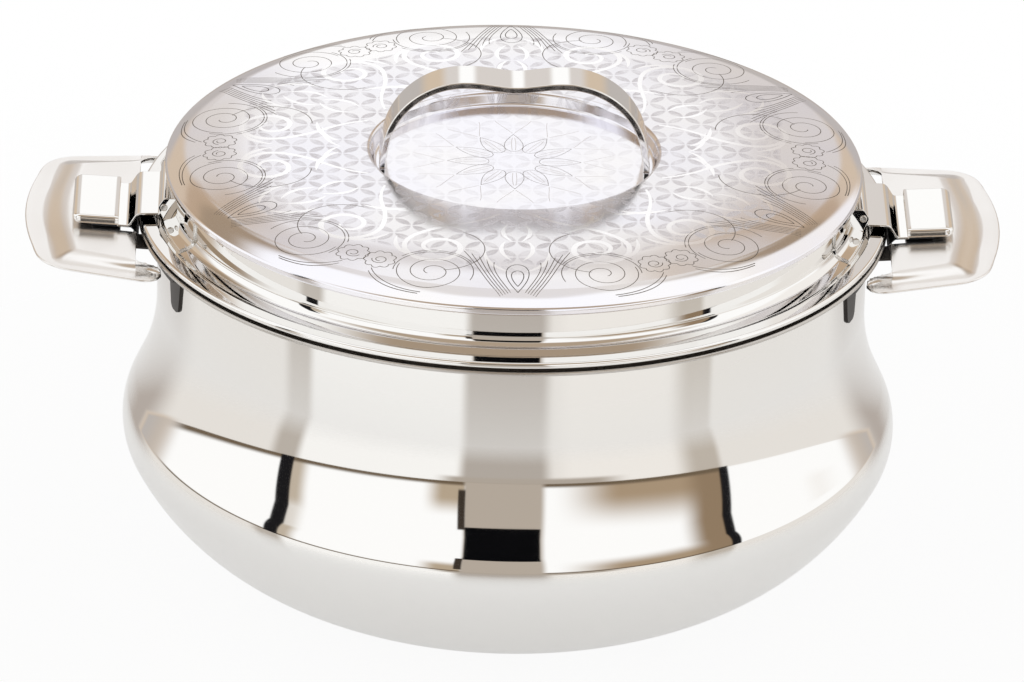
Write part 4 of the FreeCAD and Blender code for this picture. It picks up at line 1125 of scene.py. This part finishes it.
class CASSEROLE_OT_lid(Step, bpy.types.Operator):
    """Spin the lid's top, neck and liner and mould its seal"""
    bl_idname = "casserole.lid"
    bl_label = "Lid"

    def build(self, scene):
        pot, lid = scene.casserole_pot, scene.casserole_lid
        plan = LidPlan(pot, lid)
        for name, line, sheet, slot, coat, node_name in (
                ("spun_lid_top", crown_line(lid, plan), lid.sheet, "mirror_steel",
                 etched_lid_stainless(scene.casserole_etching, lid.dish_radius), "lid_top"),
                ("spun_lid_neck", neck_line(lid, plan), lid.sheet, "mirror_steel",
                 finish("mirror_polished_stainless"), "lid_neck"),
                ("spun_lid_liner", liner_plug_line(pot, lid, plan), lid.liner_sheet, "satin_steel",
                 finish("satin_stainless"), "lid_liner")):
            make_piece(name, spun_surface(sheet_outline(line, sheet, -1)), "lid", slot, coat, node_name)
        make_piece("moulded_seal", spun_surface(seal_outline(pot, lid, plan), SEAL_STEPS), "lid", "silicone",
                   moulded_silicone(), "lid_seal")
        dress("lid_insulation", bpy.data.materials["poured_polyurethane_foam"])


class CASSEROLE_OT_etching(Step, bpy.types.Operator):
    """Lay the etched scrolls, outlines and rosette on the lid"""
    bl_idname = "casserole.etching"
    bl_label = "Etching"

    def build(self, scene):
        lid, etching = scene.casserole_lid, scene.casserole_etching
        plan = LidPlan(scene.casserole_pot, lid)
        radii, heights, normals = crown_profile(lid, plan)
        crown = lambda radius: [np.interp(radius, radii, values) for values in (heights, *normals.T)]
        floor = lambda radius: (np.full(radius.shape, plan.dish_height), np.zeros(radius.shape), np.ones(radius.shape))
        thin = etching.line / MM / 2
        for name, strokes, count, lay, proud, coat in (
                ("bright_scrolls", bright_strokes(), etching.lobes, crown, 1.0, "bright_scroll_stainless"),
                ("etched_outlines", [(line, thin) for line in fine_strokes()], etching.lobes, crown, 1.5,
                 "acid_etched_line"),
                ("etched_rosette", [(line, thin * 0.9) for line in rosette_strokes()], etching.rosette, floor, 1.0,
                 "pale_etched_line")):
            make_piece(name, laid_ribbons(strokes, count, lay, etching, etching.proud * proud),
                       "lid", "mirror_steel", finish(coat))


class CASSEROLE_OT_strap(Step, bpy.types.Operator):
    """Bend the strap handle over the recess"""
    bl_idname = "casserole.strap"
    bl_label = "Strap"

    def build(self, scene):
        lid = scene.casserole_lid
        line = strap_line(lid, LidPlan(scene.casserole_pot, lid))
        make_piece("bent_strap", strip_surface(line, lid.strap_sheet, lid.strap_width / 2, lid.strap_edge),
                   "lid", "mirror_steel", finish("buffed_strap_stainless"), "strap_handle")


class CASSEROLE_OT_handles(Step, bpy.types.Operator):
    """Press the two side handles and darken their brackets"""
    bl_idname = "casserole.handles"
    bl_label = "Handles"

    def build(self, scene):
        surface = handle_surface(scene.casserole_pot, scene.casserole_handle)
        for side, sign in SIDES.items():
            make_piece(f"pressed_handle_{side}", half_turned(surface, sign), "pot", "mirror_steel",
                       finish("pressed_plate_stainless"), f"handle_{side}")
            # the brackets' dark steel is painted shade for the shade under the handles
            dress(f"handle_bracket_{side}", finish("painted_shade_dark_stainless"))


class CASSEROLE_OT_latches(Step, bpy.types.Operator):
    """Fold the levers and make their brackets, pins and claws"""
    bl_idname = "casserole.latches"
    bl_label = "Latches"

    def build(self, scene):
        latch = scene.casserole_latch
        plan = LatchPlan(scene.casserole_pot, scene.casserole_lid, latch)
        lever = joined([lever_strip(plan, latch), tab_surface(plan, latch)])
        claw, bracket, pin = claw_surface(plan, latch), latch_bracket(plan, latch), pin_surface(plan, latch)
        mirror, blued, drawn = "mirror_polished_stainless", "blued_spring_steel", "drawn_pin_stainless"
        for side, sign in SIDES.items():
            for name, surface, body, slot, coat, node_name in (
                    ("folded_lever", lever, f"latch_{side}", "mirror_steel", mirror, "latch_lever"),
                    ("spring_claw", claw, f"latch_{side}", "spring_steel", blued, "latch_spring"),
                    ("eared_strip", bracket, "lid", "mirror_steel", mirror, "latch_bracket"),
                    ("headed_pin", pin, "lid", "pin_steel", drawn, "hinge_pin")):
                make_piece(f"{name}_{side}", half_turned(surface, sign), body, slot, finish(coat),
                           f"{node_name}_{side}")
            dress(f"spring_rivets_{side}", finish(drawn))


# Each patch of the room: colour, direction it is measured from, azimuths and how softly they end, elevations and how
# softly they end, all in degrees. "front" faces the viewer, "back" the far wall, "sides" counts both ways from there.
ROOM = (
    # the table: pale sheets below the soft boxes, duller between them and towards the far wall
    ("#E6E2DD", "front", -180, 180, 1, 1, -90, -5, 1, 0.4),
    ("#F8F7F5", "front", -69, -18, 4, 6, -90, -5, 1, 0.4),
    ("#EFEBE6", "front", 20, 48, 8, 14, -90, -5, 1, 0.4),
    ("#B1A9A1", "front", -13, 9, 4, 5, -90, -5, 1, 0.4),
    ("#B9B1A8", "front", -75, -70, 5, 4, -90, -5, 1, 0.4),
    ("#BDB4A9", "front", 60, 66, 9, 3, -90, -5, 1, 0.4),
    ("#AFA59A", "front", -16, 26, 8, 12, -7, -5, 2, 0.4),
    ("#B3AAA3", "sides", -1, 40, 1, 18, -70, -5, 1, 0.4),
    # the ceiling over the viewer is beige, over the far wall it is pale
    ("#AD9B87", "front", -50, 50, 40, 40, 44, 90, 10, 1),
    # soft boxes: shade climbs the right-hand one, the others darken only at their feet
    ("#A8937A", "front", 34, 66, 22, 1, -5, 1, 0.4, 19),
    ("#917C64", "front", 61, 67, 9, 1, -5, 22, 0.4, 8),
    ("#B5A48E", "front", -20, -14, 7, 1, -5, 3, 0.4, 11),
    ("#BFB2A1", "front", -70, -67, 1, 5, -5, 12, 0.4, 10),
    ("#6C5D4B", "front", -112, 66, 25, 1, -5, -4.3, 0.4, 1.8),
    # the gap between them, with the camera in its dark housing
    ("#B4A99D", "front", -13, 9, 1.5, 2.5, -5, 40, 0.4, 4),
    ("#3C342D", "front", -15.2, -13.6, 0.6, 0.6, 0, 19.5, 2, 1),
    ("#0A0A0C", "front", -13, 9, 0.8, 0.8, 18.9, 35, 0.5, 0.8),
    ("#1B1A1C", "front", -73.4, -69.4, 0.8, 0.8, -5, 26, 0.4, 2),
    ("#1B1A1C", "front", 66.9, 69.3, 0.8, 0.8, -5, 26, 0.4, 2),
    # the far wall: a white sheet hangs between grey and then tan curtains, darker at the top
    ("#D6D0CC", "sides", 5, 52, 3, 14, -5, 27, 2, 3),
    ("#CFBDA8", "sides", 15, 50, 6, 14, -5, 27, 2, 3),
    ("#B9A28A", "sides", 5.2, 55, 1.8, 20, 28, 33, 2, 3),
    ("#A08D78", "sides", 10, 50, 5, 30, 34, 41, 3, 9),
    ("#D2CCC8", "sides", -1, 8, 1, 4, 30.6, 32.4, 1.2, 1.2),
    ("#E3DFDB", "sides", -1, 8, 1, 8, 37, 62, 3, 8),
    ("#F4F1EE", "back", 31, 75, 6, 10, 8, 50, 6, 6),
    ("#BAB4B0", "sides", -1, 45, 1, 20, -5, 8, 1, 7),
)


def either(tree, share, first, second):
    """Two shaders mixed by a share."""
    return node(tree, "ShaderNodeMixShader", {0: share, 1: first, 2: second}).outputs[0]


def studio_world(scene, studio):
    """The room that the metal mirrors, as patches of colour over directions; plain white for the camera."""
    world = bpy.data.worlds.new("studio")
    world.use_nodes = True
    scene.world = world
    tree = world.node_tree
    tree.nodes.clear()
    use = partial(maths, tree)
    parts = node(tree, "ShaderNodeSeparateXYZ", {0: node(tree, "ShaderNodeTexCoord").outputs["Generated"]}).outputs
    back = use("DEGREES", use("ARCTAN2", parts["X"], parts["Y"]))
    front = use("DEGREES", use("ARCTAN2", parts["X"], use("MULTIPLY", parts["Y"], -1.0)))
    azimuths = {"front": front, "back": back, "sides": use("ABSOLUTE", back)}
    elevation = use("DEGREES", use("ARCSINE", parts["Z"]))

    def window(value, low, high, low_soft, high_soft):
        """One inside the range and zero outside it, each edge with its own softness."""
        rise = ramp(tree, value, low - low_soft, low, kind="SMOOTHSTEP")
        return use("MULTIPLY", rise, ramp(tree, value, high, high + high_soft, 1.0, 0.0, kind="SMOOTHSTEP"))

    room = WHITE
    for shade, start, *edges in ROOM:
        part = use("MULTIPLY", window(azimuths[start], *edges[:4]), window(elevation, *edges[4:]))
        room = blend(tree, part, room, shade)
    room, white, plain = (node(tree, "ShaderNodeBackground", {"Color": shade, "Strength": strength}).outputs[0]
                          for shade, strength in ((room, studio.room_light), (WHITE, studio.backdrop),
                                                  (WHITE, studio.fill)))
    path = node(tree, "ShaderNodeLightPath").outputs
    light = either(tree, use("MAXIMUM", path["Is Glossy Ray"], path["Is Transmission Ray"]), plain, room)
    node(tree, "ShaderNodeOutputWorld", {"Surface": either(tree, path["Is Camera Ray"], light, white)})


def painted_floor(studio):
    """Pale paint that glows a little, the more for the camera, and fades to clear away from the middle."""
    material = bpy.data.materials.new("painted_floor")
    material.use_nodes = True
    tree = material.node_tree
    tree.nodes.clear()
    far = node(tree, "ShaderNodeVectorMath", {0: node(tree, "ShaderNodeTexCoord").outputs["Object"]},
               operation="LENGTH").outputs["Value"]
    path = node(tree, "ShaderNodeLightPath").outputs
    paint = node(tree, "ShaderNodeBsdfDiffuse", {"Color": studio.floor_colour}).outputs[0]
    glow = node(tree, "ShaderNodeEmission", {"Color": WHITE, "Strength": 1.0}).outputs[0]
    share = maths(tree, "MULTIPLY_ADD", path["Is Camera Ray"], studio.floor_glow,
                  maths(tree, "MULTIPLY", path["Is Glossy Ray"], studio.floor_mirrored))
    fade = ramp(tree, far, studio.floor_clear, studio.floor_gone, kind="SMOOTHSTEP")
    node(tree, "ShaderNodeOutputMaterial", {"Surface": either(
        tree, fade, either(tree, share, paint, glow), node(tree, "ShaderNodeBsdfTransparent").outputs[0])})
    return material


class CASSEROLE_OT_studio(Step, bpy.types.Operator):
    """Set the camera, the pale floor and the soft boxes"""
    bl_idname = "casserole.studio"
    bl_label = "Studio"

    def build(self, scene):
        studio = scene.casserole_studio
        camera = bpy.data.objects.new("camera", bpy.data.cameras.new("camera"))
        camera.location, camera.rotation_euler = studio.place, studio.facing
        camera.data.lens, camera.data.sensor_width, camera.data.clip_end = studio.focal, studio.sensor, studio.sight
        scene.collection.objects.link(camera)
        scene.camera = camera

        angles = np.linspace(0, TURN, 96, endpoint=False)
        disc = turned(np.array([[studio.floor_radius, -studio.floor_drop]]), angles)[0]
        mesh = bpy.data.meshes.new("floor")
        mesh.from_pydata(disc.tolist(), [], [list(range(len(disc)))])
        mesh.materials.append(painted_floor(studio))
        floor = bpy.data.objects.new("floor", mesh)
        scene.collection.objects.link(floor)

        studio_world(scene, studio)
        scene.view_settings.view_transform = "Standard"


class CASSEROLE_PT_panel(bpy.types.Panel):
    """Steps that dress the casserole"""
    bl_idname = "CASSEROLE_PT_panel"
    bl_label = "Casserole"
    bl_space_type = "VIEW_3D"
    bl_region_type = "UI"
    bl_category = "Casserole"

    def draw(self, context):
        for step in STEPS:
            self.layout.operator(step.bl_idname)


STEPS = (CASSEROLE_OT_pot, CASSEROLE_OT_lid, CASSEROLE_OT_etching, CASSEROLE_OT_strap, CASSEROLE_OT_handles,
         CASSEROLE_OT_latches, CASSEROLE_OT_studio)
SETTINGS = {"casserole_pot": PotSizes, "casserole_lid": LidSizes, "casserole_handle": HandleSizes,
            "casserole_latch": LatchSizes, "casserole_etching": EtchingSettings, "casserole_studio": StudioSettings}


def register():
    """Register the settings, the steps and the panel."""
    for name, group in SETTINGS.items():
        bpy.utils.register_class(group)
        setattr(bpy.types.Scene, name, bpy.props.PointerProperty(type=group))
    for item in (*STEPS, CASSEROLE_PT_panel):
        bpy.utils.register_class(item)


def unregister():
    """Take the panel, the steps and the settings away again."""
    for item in (CASSEROLE_PT_panel, *reversed(STEPS)):
        bpy.utils.unregister_class(item)
    for name, group in SETTINGS.items():
        delattr(bpy.types.Scene, name)
        bpy.utils.unregister_class(group)


def main():
    """Make every piece and the studio, then write the two boxes."""
    register()
    for step in STEPS:
        group, name = step.bl_idname.split(".")
        getattr(getattr(bpy.ops, group), name)()
    bpy.context.view_layer.update()


if __name__ == "__main__":
    main()
